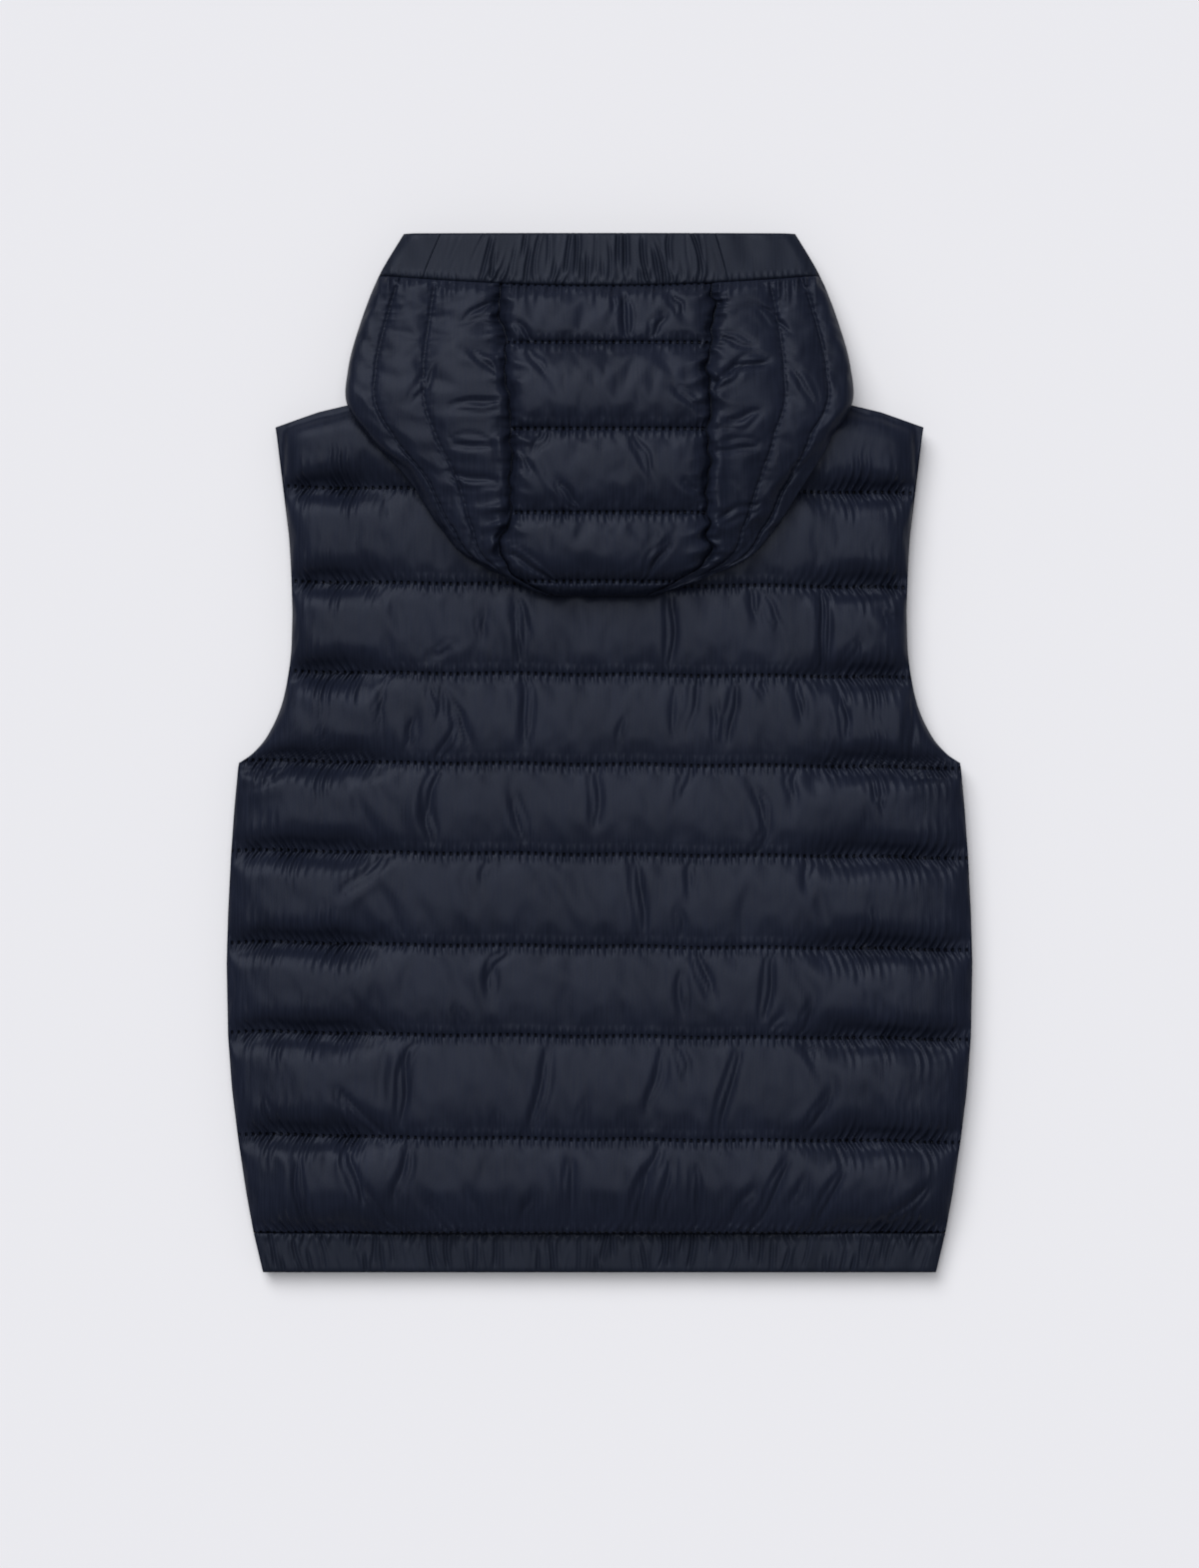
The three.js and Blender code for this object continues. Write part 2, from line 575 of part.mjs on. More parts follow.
// Rows of a puffed panel: every puff between two lines gets the same steps
function puffRows(lines, steps) {
  const rows = [lines[0]];
  for (let i = 1; i < lines.length; i += 1) {
    for (const t of steps.slice(1)) rows.push(mix(lines[i - 1], lines[i], t));
  }
  return rows;
}

// How far a place lies through its own puff, from 0 at one line to 1 at the next
function throughPuff(lines, place) {
  let i = 1;
  while (i < lines.length - 1 && lines[i] < place) i += 1;
  return clamp01((place - lines[i - 1]) / (lines[i] - lines[i - 1]));
}

const crownLines = [...CROWN_LINES, HOOD_SEAM - GAP / 2];

function makeCrown() {
  const inset = (y, share) => crownPlace(y, share) + (HOOD_SEAM_GAP / 2) * (1 - 2 * share);
  return hoodPanel('hood_crown', cloth, {
    rows: puffRows(crownLines, HOOD_STEPS),
    shares: puffRows([0, 0.12, 0.88, 1], [0, 0.25, 0.5, 0.75, 1]),
    lowRows: lowHoodRows,
    lowShares: CROWN_SHARES,
    place: inset,
    thick: (x, y, share) => {
      const toSeam = Math.min(share, 1 - share) * (hoodAt(y, 'seamLeft') + hoodAt(y, 'seamRight'));
      const puff = CROWN_PUFF * puffShape(throughPuff(crownLines, y)) * edgeShape(toSeam, SEAM_REACH);
      return HOOD_STITCH + puff * clamp01(NAPE_LOFT + (y - HOOD_BOTTOM) / NAPE_REACH);
    },
  });
}

function makeHoodSide(name, side) {
  const across = side < 0 ? leftPlace : rightPlace;
  const order = (shares) => (side < 0 ? [...shares].sort((a, b) => b - a) : shares);
  return hoodPanel(name, cloth, {
    rows: puffRows(crownLines, HOOD_STEPS),
    shares: order(puffRows(SIDE_LINES, SIDE_STEPS)),
    lowRows: lowHoodRows,
    lowShares: side < 0 ? LEFT_SHARES : RIGHT_SHARES,
    place: (y, share) => across(y, share) + (side * HOOD_SEAM_GAP * (1 - share)) / 2,
    thick: (x, y, share) => {
      const fromSeam = edgeShape(HOOD_SEAM - y, SEAM_REACH);
      const fromFold = edgeShape(y - HOOD_BOTTOM, SIDE_NAPE_REACH);
      const puff = SIDE_PUFF * puffShape(throughPuff(SIDE_LINES, share)) * fromSeam * fromFold;
      return mix(HOOD_STITCH, SIDE_EDGE_THICK, share ** 4) + puff;
    },
  });
}

// The elastic band round the mouth: gathered over the crown and plain towards its ends
const BAND_ROWS = [HOOD_SEAM + GAP / 2, HOOD_SEAM + 3, HOOD_SEAM + 12, HOOD_MOUTH - 2.5, HOOD_MOUTH];

function bandThick(y, waves) {
  const edge = edgeShape(Math.min(HOOD_MOUTH - y, y - HOOD_SEAM), BAND_EDGE_REACH);
  return mix(BAND_EDGE_THICK, BAND_THICK, edge) + waves * mix(BAND_EDGE_WAVES, 1, edge);
}

function makeHoodBand() {
  const from = (y) => leftPlace(y, BAND_JOIN_LEFT) + GAP / 2;
  const to = (y) => rightPlace(y, BAND_JOIN_RIGHT) - GAP / 2;
  const crownStart = (y, share) => clamp01((crownPlace(y, share) - from(y)) / (to(y) - from(y)));
  return hoodPanel('hood_band', bandCloth, {
    rows: BAND_ROWS,
    shares: evenSteps(0, 1, HOOD_GATHERS * POINTS_A_GATHER),
    lowRows: [BAND_ROWS[0], HOOD_MOUTH],
    lowShares: [0, ...CROWN_SHARES.map((share) => crownStart(HOOD_SEAM, share)), 1],
    place: (y, share) => mix(from(y), to(y), share),
    thick: (x, y, share) => bandThick(y, gather(HOOD_GATHERS, share)),
  });
}

function makeHoodBandEnd(name, side, from) {
  const across = side < 0 ? leftPlace : rightPlace;
  const shares = evenSteps(0, 1, 6);
  return hoodPanel(name, bandCloth, {
    rows: BAND_ROWS,
    shares: side < 0 ? [...shares].reverse() : shares,
    lowRows: [BAND_ROWS[0], HOOD_MOUTH],
    lowShares: side < 0 ? [1, 0] : [0, 0.5, 1],
    place: (y, share) => across(y, mix(from, 1, share)) + (side * GAP * (1 - share)) / 2,
    thick: (x, y) => bandThick(y, 0),
  });
}

// A cross-section in X and Z run along Y down from a start
function runAlongY(points, start, length) {
  const shape = new THREE.Shape(points.map(([x, z]) => new THREE.Vector2(x, z)));
  const geometry = new THREE.ExtrudeGeometry(shape, { depth: length, bevelEnabled: false });
  return geometry.rotateX(Math.PI / 2).translate(0, start, 0);
}

function makeZip() {
  const section = [
    [-TAPE.half, TAPE.high], [-TAPE.half, TAPE.low], [-TEETH.half, TAPE.low], [-TEETH.half, TEETH.low],
    [TEETH.half, TEETH.low], [TEETH.half, TAPE.low], [TAPE.half, TAPE.low], [TAPE.half, TAPE.high],
  ];
  const top = topEdge(0, 'front') - ZIP_INSET;
  const bottom = HEM_EDGE + ZIP_INSET;
  return namedMesh('front_zip', runAlongY(section, top, top - bottom), tape);
}

function makeSlider() {
  const { length, half, nose } = SLIDER;
  const widest = length * SLIDER.widest;
  const plan = [[-nose, 0], [nose, 0], [half, widest], [nose, length], [-nose, length], [-half, widest]];
  const shape = new THREE.Shape(plan.map(([x, y]) => new THREE.Vector2(x, y)));
  const depth = SLIDER.high - SLIDER.low;
  const geometry = new THREE.ExtrudeGeometry(shape, { depth, bevelEnabled: false });
  return namedMesh('zip_slider', geometry.translate(0, SLIDER.y, SLIDER.low), metal);
}

const vest = new THREE.Group();
vest.add(
  makeBack(),
  makeFront('front_left', -1),
  makeFront('front_right', 1),
  makeBackHemBand(),
  makeFrontHemBand('hem_band_front_left', -1),
  makeFrontHemBand('hem_band_front_right', 1),
  makeHoodChin(),
  makeHoodUnder(),
  makeCrown(),
  makeHoodSide('hood_side_left', -1),
  makeHoodSide('hood_side_right', 1),
  makeHoodBand(),
  makeHoodBandEnd('hood_band_end_left', -1, BAND_JOIN_LEFT),
  makeHoodBandEnd('hood_band_end_right', 1, BAND_JOIN_RIGHT),
  makeZip(),
  makeSlider(),
);

export default vest;
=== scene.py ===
# %% [markdown]
# # A child's quilted vest, laid flat
# The vest lies on its front with its back up, and its hood is turned down over the back. The cut
# pieces come from the CAD frame, so every place and height here is in the frame's millimetres.
# This lesson gives each padded piece its puffs, its puckered seams and its thin shiny cloth.

# %% Load the frame
import math

import bmesh
import bpy
import numpy as np
from mathutils import Matrix, Vector


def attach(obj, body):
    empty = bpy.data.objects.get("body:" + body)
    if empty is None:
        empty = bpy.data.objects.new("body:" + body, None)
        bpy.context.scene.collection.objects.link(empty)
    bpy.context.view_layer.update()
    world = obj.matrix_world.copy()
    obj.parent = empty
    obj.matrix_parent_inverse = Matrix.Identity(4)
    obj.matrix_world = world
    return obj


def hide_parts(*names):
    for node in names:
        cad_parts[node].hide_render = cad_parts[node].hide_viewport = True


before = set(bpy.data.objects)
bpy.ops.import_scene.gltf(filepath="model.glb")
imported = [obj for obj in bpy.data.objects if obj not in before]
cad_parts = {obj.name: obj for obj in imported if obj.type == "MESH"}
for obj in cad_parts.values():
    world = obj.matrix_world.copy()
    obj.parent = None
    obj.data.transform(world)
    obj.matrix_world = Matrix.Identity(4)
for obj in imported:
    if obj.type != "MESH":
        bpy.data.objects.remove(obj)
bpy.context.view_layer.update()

MM = 0.001

# %% [markdown]
# ## The camera
# The photograph was taken from straight above with a long lens, so the outline has hardly any
# perspective. A camera 2.8 m up with its frame fitted to the garment's plane gives that view.
# The picture's middle lies a little below the garment's middle.

# %% Camera
FRAME_HEIGHT = 886.5 * MM
CAMERA_HEIGHT = 2.8
GARMENT_PLANE = 20 * MM
PICTURE_MIDDLE = (0.0, -17 * MM)
SENSOR = 24.0

camera_data = bpy.data.cameras.new("camera")
camera_data.sensor_fit = "VERTICAL"
camera_data.sensor_height = SENSOR
camera_data.lens = SENSOR * (CAMERA_HEIGHT - GARMENT_PLANE) / FRAME_HEIGHT
camera = bpy.data.objects.new("camera", camera_data)
camera.location = (*PICTURE_MIDDLE, CAMERA_HEIGHT)
bpy.context.scene.collection.objects.link(camera)
bpy.context.scene.camera = camera
print("lens", round(camera_data.lens, 1))

# %% [markdown]
# ## The sizes
# A panel of the body is drawn in two numbers: u runs across from -1 to 1, and v runs down from
# the shoulders, with a whole number at each quilt line. Short tables hold the outline, as a
# pattern maker would note it. The same tables made the CAD solids, so the pieces fit over them.

# %% Sizes of the body
GAP = 0.3
FRONT_THICK = 12.0
EDGE_THICK = 2.2
STITCH_RISE = 1.2
PUFF = 8.8
SHOULDER_TIP = 183.6
HEM_EDGE, HEM_SEAM = -294.1, -271.5
SIDE_FALL, ARMHOLE_FALL = 50.0, 20.0
QUILT_LINES = [149.4, 95.8, 44.9, -5.9, -56.8, -108.8, -159.6, -217.8, HEM_SEAM]
PUFFS = len(QUILT_LINES)

SIDE_Y = [-294.1, -271.5, -250, -217.8, -190, -159.6, -118.9, -90, -56.8, -30, -4.8,
          -2.0, 3.0, 8.2, 18.4, 28.5, 38.7, 48.9, 59.0, 79.4, 99.7, 120.1, 149.4]
SIDE_HALF = [191.0, 196.3, 200.0, 204.8, 208.3, 210.5, 211.3, 210.5, 208.8, 206.9, 204.5,
             198.9, 193.6, 189.3, 183.6, 179.7, 177.4, 175.7, 174.6, 174.0, 174.6, 175.7, 178.4]
TOP_X = [0, 26, 52, 78, 110, 142.4, 159.3, SHOULDER_TIP]
TOP_BACK = [183.3, 186.2, 194.0, 204.8, 201.2, 197.5, 193.5, 185.0]
TOP_FRONT = [134.0, 141.0, 163.0, 204.8, 201.2, 197.5, 193.5, 185.0]
FRONT_LEVEL_Y = [HEM_EDGE, HEM_SEAM, -245]
FRONT_LEVEL = [7.2, 8.0, FRONT_THICK]
print(PUFFS, "puffs from", QUILT_LINES[0], "down to", HEM_SEAM, "mm")

# %% [markdown]
# ## Curves that come back
# Nearly all relief on the vest comes from a few curves: a straight mix, a ramp that stops at both
# ends, a bell that fades on both sides of a line, and the round edge of a filled piece. They work
# on whole rows of points at once, which is much quicker than a loop over points.

# %% Curves
PUFF_FLATNESS = 4.2


def mix(a, b, t):
    return a + (b - a) * t


def ramp(distance, width=1.0):
    """Rises from 0 to 1 over a width and stops at both ends."""
    return np.clip(distance / width, 0, 1)


def bell(distance, width):
    """1 on a line, and less on both sides of it."""
    return np.exp(-(distance / width) ** 2)


def edge_shape(distance, reach):
    """Quarter round that rises from an edge over a reach."""
    return np.sqrt(ramp(1 - (1 - ramp(distance, reach)) ** 2))


def puff_shape(t):
    """Round cross-section between two stitch lines at t 0 and 1."""
    return 1 - np.abs(2 * t - 1) ** PUFF_FLATNESS


def crowd(t):
    """Moves evenly spaced rows towards the two lines at t 0 and 1."""
    return t - 0.4 * np.sin(t * math.tau) / math.tau


def half_width(y):
    return np.interp(y, SIDE_Y, SIDE_HALF)


def from_side(x, y):
    """Distance in from the side seam or the armhole."""
    return half_width(y) - np.abs(x)


def front_top(y):
    """Height of the fronts, on which the back lies."""
    return np.interp(y, FRONT_LEVEL_Y, FRONT_LEVEL)


print("a puff is", round(float(puff_shape(0.1)), 2), "of its height a tenth of the way in")

# %% [markdown]
# ## Soft noise
# Cloth is never quite even. A few long sine waves with uneven lengths and seeded phases give a
# smooth wander that is the same on each run, and cost nothing.

# %% Smooth wander
WAVES = 7


def wander(x, y, size, seed):
    """Smooth noise of about -1 to 1, whose bumps are about size millimetres across."""
    draw = np.random.default_rng(seed)
    total = np.zeros(np.shape(x))
    for _ in range(WAVES):
        angle = draw.uniform(0, math.tau)
        pitch = size * draw.uniform(1.4, 3.2)
        phase = draw.uniform(0, math.tau)
        total = total + np.sin((x * math.cos(angle) + y * math.sin(angle)) * math.tau / pitch + phase)
    return total / math.sqrt(WAVES)


print("wander starts at", round(float(wander(0.0, 0.0, 10, 1)), 2))

# %% [markdown]
# ## A sheet of cloth
# Every padded piece starts as a flat grid, whose points are then moved to their places. Their
# places are read and set as one array, since a loop over a hundred thousand points would be slow.

# %% Sheet helpers
def to_piece(bm, name):
    """The mesh that a bmesh holds, as an object in the scene."""
    mesh = bpy.data.meshes.new(name)
    bm.to_mesh(mesh)
    bm.free()
    piece = bpy.data.objects.new(name, mesh)
    bpy.context.scene.collection.objects.link(piece)
    return piece


def read_points(mesh):
    flat = np.empty(len(mesh.vertices) * 3, dtype=np.float32)
    mesh.vertices.foreach_get("co", flat)
    return flat.reshape(-1, 3).astype(float)


def set_points(piece, points):
    """Moves a piece's points to places in millimetres."""
    flat = np.ascontiguousarray(points * MM, dtype=np.float32).ravel()
    piece.data.vertices.foreach_set("co", flat)
    piece.data.update()


def new_sheet(name, across, along):
    """A grid as an object, with each point's two numbers from 0 to 1."""
    bm = bmesh.new()
    bmesh.ops.create_grid(bm, x_segments=across, y_segments=along, size=0.5)
    piece = to_piece(bm, name)
    spots = ramp(read_points(piece.data) + 0.5)
    return piece, spots[:, 0], spots[:, 1]


print("places are in mm and meshes in m, so they are multiplied by", MM)

# %% [markdown]
# ## Maps on a sheet
# The weave and the needle holes have to follow the cloth through all its folds, which a pattern on
# Object coordinates wouldn't do. So each point's place on the flat cloth is kept before it is
# moved. The finer mesh reads it back, since subdivision carries a UV map along.

# %% Maps on a sheet
SEAM_REACH = 10.0


def corner_points(mesh):
    """The number of the point at each corner of each face."""
    corners = np.empty(len(mesh.loops), dtype=np.int32)
    mesh.loops.foreach_get("vertex_index", corners)
    return corners


def mark(piece, name, first, second):
    """Keeps two numbers for each point as a UV map."""
    layer = piece.data.uv_layers.new(name=name)
    corners = corner_points(piece.data)
    both = np.stack([first[corners], second[corners]], axis=1)
    layer.data.foreach_set("uv", both.astype(np.float32).ravel())


def mark_cloth(piece, x, y):
    """Keeps each point's place on the flat cloth, in metres."""
    mark(piece, "cloth", x * MM, y * MM)


def mark_seam(piece, run, away):
    """Keeps how far along a sewn line each point is, in metres, and how near that line it is."""
    mark(piece, "seam", run * MM, ramp(1 - np.abs(away) / SEAM_REACH))


def read_cloth(piece):
    """Each point's place on the flat cloth in millimetres, from its UV map."""
    corners = corner_points(piece.data)
    flat = np.empty(len(corners) * 2, dtype=np.float32)
    piece.data.uv_layers["cloth"].data.foreach_get("uv", flat)
    spots = np.zeros((len(piece.data.vertices), 2))
    spots[corners] = flat.reshape(-1, 2) / MM
    return spots[:, 0], spots[:, 1]


def refine(piece, levels=1):
    """Rounds a piece with Catmull-Clark subdivision and keeps the finer mesh."""
    rounding = piece.modifiers.new("rounding", "SUBSURF")
    rounding.levels = levels
    rounding.render_levels = levels
    rounding.boundary_smooth = "PRESERVE_CORNERS"
    depsgraph = bpy.context.evaluated_depsgraph_get()
    fine = bpy.data.meshes.new_from_object(piece.evaluated_get(depsgraph))
    fine.name = piece.name
    coarse = piece.data
    piece.modifiers.clear()
    piece.data = fine
    bpy.data.meshes.remove(coarse)


print("a seam is marked up to", SEAM_REACH, "mm to each side")

# %% [markdown]
# ## Closing and finishing a piece
# The shaped sheet is only the side that shows. A padded piece has an inner side too, and here
# walls of extruded edges reach it. Solidify would need an even thickness, which a puff hasn't.

# %% Closing and finishing
def points_of(geometry):
    return [item for item in geometry if isinstance(item, bmesh.types.BMVert)]


def open_edges_of(geometry):
    return [item for item in geometry if isinstance(item, bmesh.types.BMEdge) and item.is_boundary]


def close_flat(piece, level):
    """Turns a sheet into a closed body: a wall round its edge and a flat face on the other side.

    That face bends where the level of the fronts does, so it is cut there.
    """
    bm = bmesh.new()
    bm.from_mesh(piece.data)
    made = bmesh.ops.extrude_edge_only(bm, edges=open_edges_of(bm.edges))["geom"]
    wall = points_of(made)
    for vert in wall:
        vert.co.z = level(vert.co.y / MM) * MM
    edges = open_edges_of(made)
    flat = bmesh.ops.holes_fill(bm, edges=edges)["faces"]
    place = Vector((0, FRONT_LEVEL_Y[-1] * MM, 0))
    cut = flat + edges + wall
    bmesh.ops.bisect_plane(bm, geom=cut, plane_co=place, plane_no=Vector((0, 1, 0)))
    bmesh.ops.recalc_face_normals(bm, faces=bm.faces)
    bm.to_mesh(piece.data)
    bm.free()


def finish_piece(piece, material, slot, *nodes, fill=None):
    """Smooth shading, material, the root body and the hiding of its CAD nodes for a finished piece."""
    for polygon in piece.data.polygons:
        polygon.use_smooth = True
    piece.data.materials.append(material)
    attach(piece, "root")
    if nodes:
        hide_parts(*nodes)
    print(piece.name, "has", len(piece.data.polygons), "faces")


# %% [markdown]
# ## Inflating the puffs
# A real puff is two layers of cloth sewn together with wadding between them. The cloth between
# two stitch lines is a little longer than the gap that it spans, so it buckles into small soft
# folds. Blender's cloth solver makes the same folds if the stitches are pinned, the cloth is
# let out where it should fold, and air presses from below.

# %% Cloth solver
THIN_TAFFETA = {
    "quality": 5, "mass": 0.12, "air_damping": 4.0, "tension_stiffness": 12,
    "compression_stiffness": 12, "shear_stiffness": 5, "bending_stiffness": 0.2,
    "tension_damping": 8, "compression_damping": 8, "shear_damping": 8, "bending_damping": 1,
}
SOLVED_FRAMES = 20
FURTHEST_MOVE = 5.0


def inflate(piece, pinned, let_out, slack, pressure):
    """Blows a sheet up between its pinned points and returns where its points went."""
    group = piece.vertex_groups.new(name="stitched")
    group.add([int(i) for i in np.flatnonzero(pinned)], 1.0, "REPLACE")
    loose = piece.vertex_groups.new(name="let out")
    for step in range(1, 11):
        here = np.flatnonzero(np.rint(ramp(let_out) * 10) == step)
        loose.add([int(i) for i in here], step / 10, "REPLACE")
    cloth = piece.modifiers.new("cloth", "CLOTH")
    settings = cloth.settings
    for name, value in THIN_TAFFETA.items():
        setattr(settings, name, value)
    settings.vertex_group_mass = group.name
    settings.vertex_group_shrink = loose.name
    settings.shrink_min, settings.shrink_max = -slack[0], -slack[1]
    settings.use_pressure = True
    settings.uniform_pressure_force = pressure
    settings.effector_weights.gravity = 0
    cloth.collision_settings.use_collision = False
    cloth.point_cache.frame_start = 1
    cloth.point_cache.frame_end = SOLVED_FRAMES
    for number in range(1, SOLVED_FRAMES + 1):
        bpy.context.scene.frame_set(number)
    evaluated = piece.evaluated_get(bpy.context.evaluated_depsgraph_get())
    points = read_points(evaluated.to_mesh()) / MM
    evaluated.to_mesh_clear()
    piece.modifiers.remove(cloth)
    piece.vertex_groups.clear()
    bpy.context.scene.frame_set(1)
    return points


def puff_up(piece, points, pinned, let_out, slack, pressure):
    """The solved sheet, with the way that each point may move held under a cap."""
    set_points(piece, points)
    moved = inflate(piece, pinned, let_out, slack, pressure) - points
    length = np.maximum(np.linalg.norm(moved, axis=1), 1e-6)
    moved *= np.minimum(1, FURTHEST_MOVE / length)[:, None]
    set_points(piece, points + moved)
    print(piece.name, "moved up to", round(float(length.max()), 1), "mm")
    return points + moved


# %% [markdown]
# ## The folds of the back
# The photograph shows where the cloth of the back folds, so each larger fold is placed one by one.
# A row of the table says which puff it is in, where it starts and ends across the back, how far
# down the puff these ends lie, and how strong it is.

# %% Table of folds
FOLDS = [
    # row, from x, to x, from, to, depth
    (2, -46, -41, 0.19, 0.51, 0.8), (2, -48, -45, 0.35, 0.80, 0.9), (2, -65, -66, 0.35, 0.56, 0.5),
    (2, -93, -81, 0.78, 0.66, 0.5), (2, 40, 40, 0.17, 0.83, 1.0), (2, 87, 89, 0.01, 0.33, 0.8),
    (2, 94, 101, 0.15, 0.44, 0.6), (2, 126, 126, 0.13, 0.89, 1.0), (2, 161, 171, 0.33, 0.42, 0.9),
    (2, 139, 147, 0.86, 0.68, 0.5),
    (3, -95, -92, 0.18, 0.50, 0.6), (3, -88, -86, 0.18, 0.50, 0.6), (3, -82, -75, 0.37, 0.72, 1.0),
    (3, -42, -42, 0.06, 0.70, 1.0), (3, -123, -124, 0.27, 0.49, 0.5), (3, -105, -107, 0.52, 0.76, 0.7),
    (3, 55, 50, 0.0, 0.56, 0.6), (3, 44, 43, 0.18, 0.64, 0.5), (3, 77, 72, 0.18, 0.70, 0.9),
    (3, 65, 65, 0.41, 0.76, 0.6), (3, 92, 93, 0.03, 0.20, 0.6), (3, 111, 114, 0.11, 0.43, 0.7),
    (3, 137, 139, 0.29, 0.64, 0.8), (3, 16, 12, 0.49, 0.70, 0.5), (3, 177, 175, 0.28, 1.0, 1.0),
    (3, -82, -92, 0.61, 0.93, 0.7),
    (4, -90, -98, 0.0, 0.53, 1.0), (4, -98, -95, 0.53, 0.84, 0.9), (4, -3, -2, 0.03, 0.61, 0.9),
    (4, -48, -42, 0.38, 0.81, 0.8), (4, 51, 46, 0.03, 0.34, 0.7), (4, 89, 94, 0.34, 0.66, 0.8),
    (4, 110, 110, 0.02, 0.34, 0.8), (4, 155, 160, 0.27, 0.46, 0.6), (4, 94, 87, 0.77, 0.97, 0.6),
    (4, -194, -179, 0.22, 0.04, 0.9), (4, -204, -188, 0.0, 0.06, 1.0), (4, 176, 198, 0.17, 0.13, 1.0),
    (5, -144, -121, 0.38, 0.0, 0.9), (5, -64, -66, 0.12, 0.30, 0.6), (5, 20, 24, 0.08, 0.88, 1.0),
    (5, 53, 52, 0.08, 0.38, 0.7), (5, 45, 46, 0.61, 0.84, 0.6), (5, 117, 117, 0.0, 0.27, 0.8),
    (6, -52, -62, 0.07, 0.30, 0.9), (6, -62, -62, 0.30, 0.50, 0.8), (6, 54, 63, 0.11, 0.53, 1.0),
    (6, 47, 47, 0.30, 0.70, 0.7), (6, 97, 93, 0.14, 0.78, 1.0), (6, -81, -79, 0.70, 0.93, 0.6),
    (6, -131, -121, 0.78, 0.97, 0.6), (6, 103, 97, 0.78, 0.93, 0.6), (6, 119, 114, 0.70, 0.93, 0.6),
    (7, -103, -110, 0.08, 0.28, 0.8), (7, -110, -112, 0.28, 0.79, 1.0), (7, -29, -39, 0.17, 0.92, 1.0),
    (7, -8, -8, 0.65, 0.92, 0.6), (7, -60, -58, 0.76, 0.92, 0.6), (7, -147, -123, 0.58, 0.99, 1.0),
    (7, -190, -182, 0.65, 0.89, 0.7), (7, 46, 49, 0.11, 0.35, 0.7), (7, 36, 28, 0.17, 0.65, 0.9),
    (7, 79, 67, 0.17, 0.96, 1.0), (7, 117, 121, 0.11, 0.24, 0.6), (7, 129, 117, 0.62, 0.89, 0.8),
    (8, -171, -167, 0.28, 0.87, 0.9), (8, -144, -135, 0.10, 0.65, 0.9), (8, -107, -115, 0.10, 0.55, 1.0),
    (8, -132, -118, 0.55, 0.92, 1.0), (8, -98, -86, 0.65, 0.95, 0.8), (8, -72, -64, 0.65, 0.95, 0.7),
    (8, -38, -44, 0.65, 0.95, 0.7), (8, -16, -19, 0.25, 0.95, 0.9), (8, 37, 26, 0.03, 0.40, 1.0),
    (8, 26, 20, 0.40, 0.92, 1.0), (8, 41, 33, 0.25, 0.88, 0.9), (8, 54, 54, 0.33, 0.95, 0.8),
    (8, 87, 75, 0.55, 0.88, 0.8), (8, 105, 89, 0.28, 0.88, 1.0), (8, 115, 109, 0.47, 0.65, 0.6),
    (8, 137, 123, 0.40, 0.88, 1.0), (8, 184, 159, 0.55, 0.92, 1.0),
]
BACK_FOLDS = [(from_x, mix(QUILT_LINES[row - 1], QUILT_LINES[row], start),
               to_x, mix(QUILT_LINES[row - 1], QUILT_LINES[row], end), depth)
              for row, from_x, to_x, start, end, depth in FOLDS]
print(len(FOLDS), "folds on the back")

# %% [markdown]
# ## The section of a fold
# Each fold is used twice. Before the cloth is blown up, a soft trough with a ridge beside it
# starts the buckle. Afterwards a pinched fold, a narrow ridge between two slits, gives it the
# sharp edge that thin cloth has. A fold drawn by the solver alone would fall anywhere.

# %% Folds
FOLD_WIDTH, HOOD_FOLD_WIDTH = 3.4, 3.2
FOLD_BEND, PINCH_BEND, PINCH_WAVE = 1.6, 1.3, 0.5


def beside_fold(fold, x, y):
    """Share of the way along a fold, distance to its side, and distance past its ends."""
    from_x, from_y, to_x, to_y = fold[:4]
    along_x, along_y = to_x - from_x, to_y - from_y
    px, py = x - from_x, y - from_y
    length = math.hypot(along_x, along_y)
    share = (px * along_x + py * along_y) / length ** 2
    past = np.maximum(np.maximum(-share, share - 1), 0) * length
    return share, (px * along_y - py * along_x) / length, past


def bend(share, number, amount):
    """How far a fold bows to its side, each by another amount."""
    return amount * math.sin(number * 2.1) * np.sin(ramp(share) * math.pi)


def trough(side, past, width, depth):
    """A soft trough with a ridge beside it."""
    ridge = 0.7 * bell(side - 1.5 * width, width)
    return depth * bell(past, 1.6 * width) * (bell(side, 0.8 * width) - ridge)


def back_troughs(x, y):
    """Depth of the soft folds of the back at each point, in parts of full depth."""
    total = np.zeros(np.shape(x))
    for number, fold in enumerate(BACK_FOLDS):
        row, depth = FOLDS[number][0], fold[-1]
        near = (np.abs(x - fold[0]) < 60) & (y < QUILT_LINES[row - 1] + 8) & (y > QUILT_LINES[row] - 8)
        share, side, past = beside_fold(fold, x[near], y[near])
        side = side + bend(share, number, FOLD_BEND)
        total[near] += trough(side, past, FOLD_WIDTH * (0.7 + 0.5 * depth), depth)
    return total


def hood_troughs(table, x, y):
    """Depth of the soft folds of a panel of the hood, from a table of their two ends."""
    total = np.zeros(np.shape(x))
    for fold in table:
        share, side, past = beside_fold(fold, x, y)
        total += trough(side, past, HOOD_FOLD_WIDTH, fold[-1])
    return total


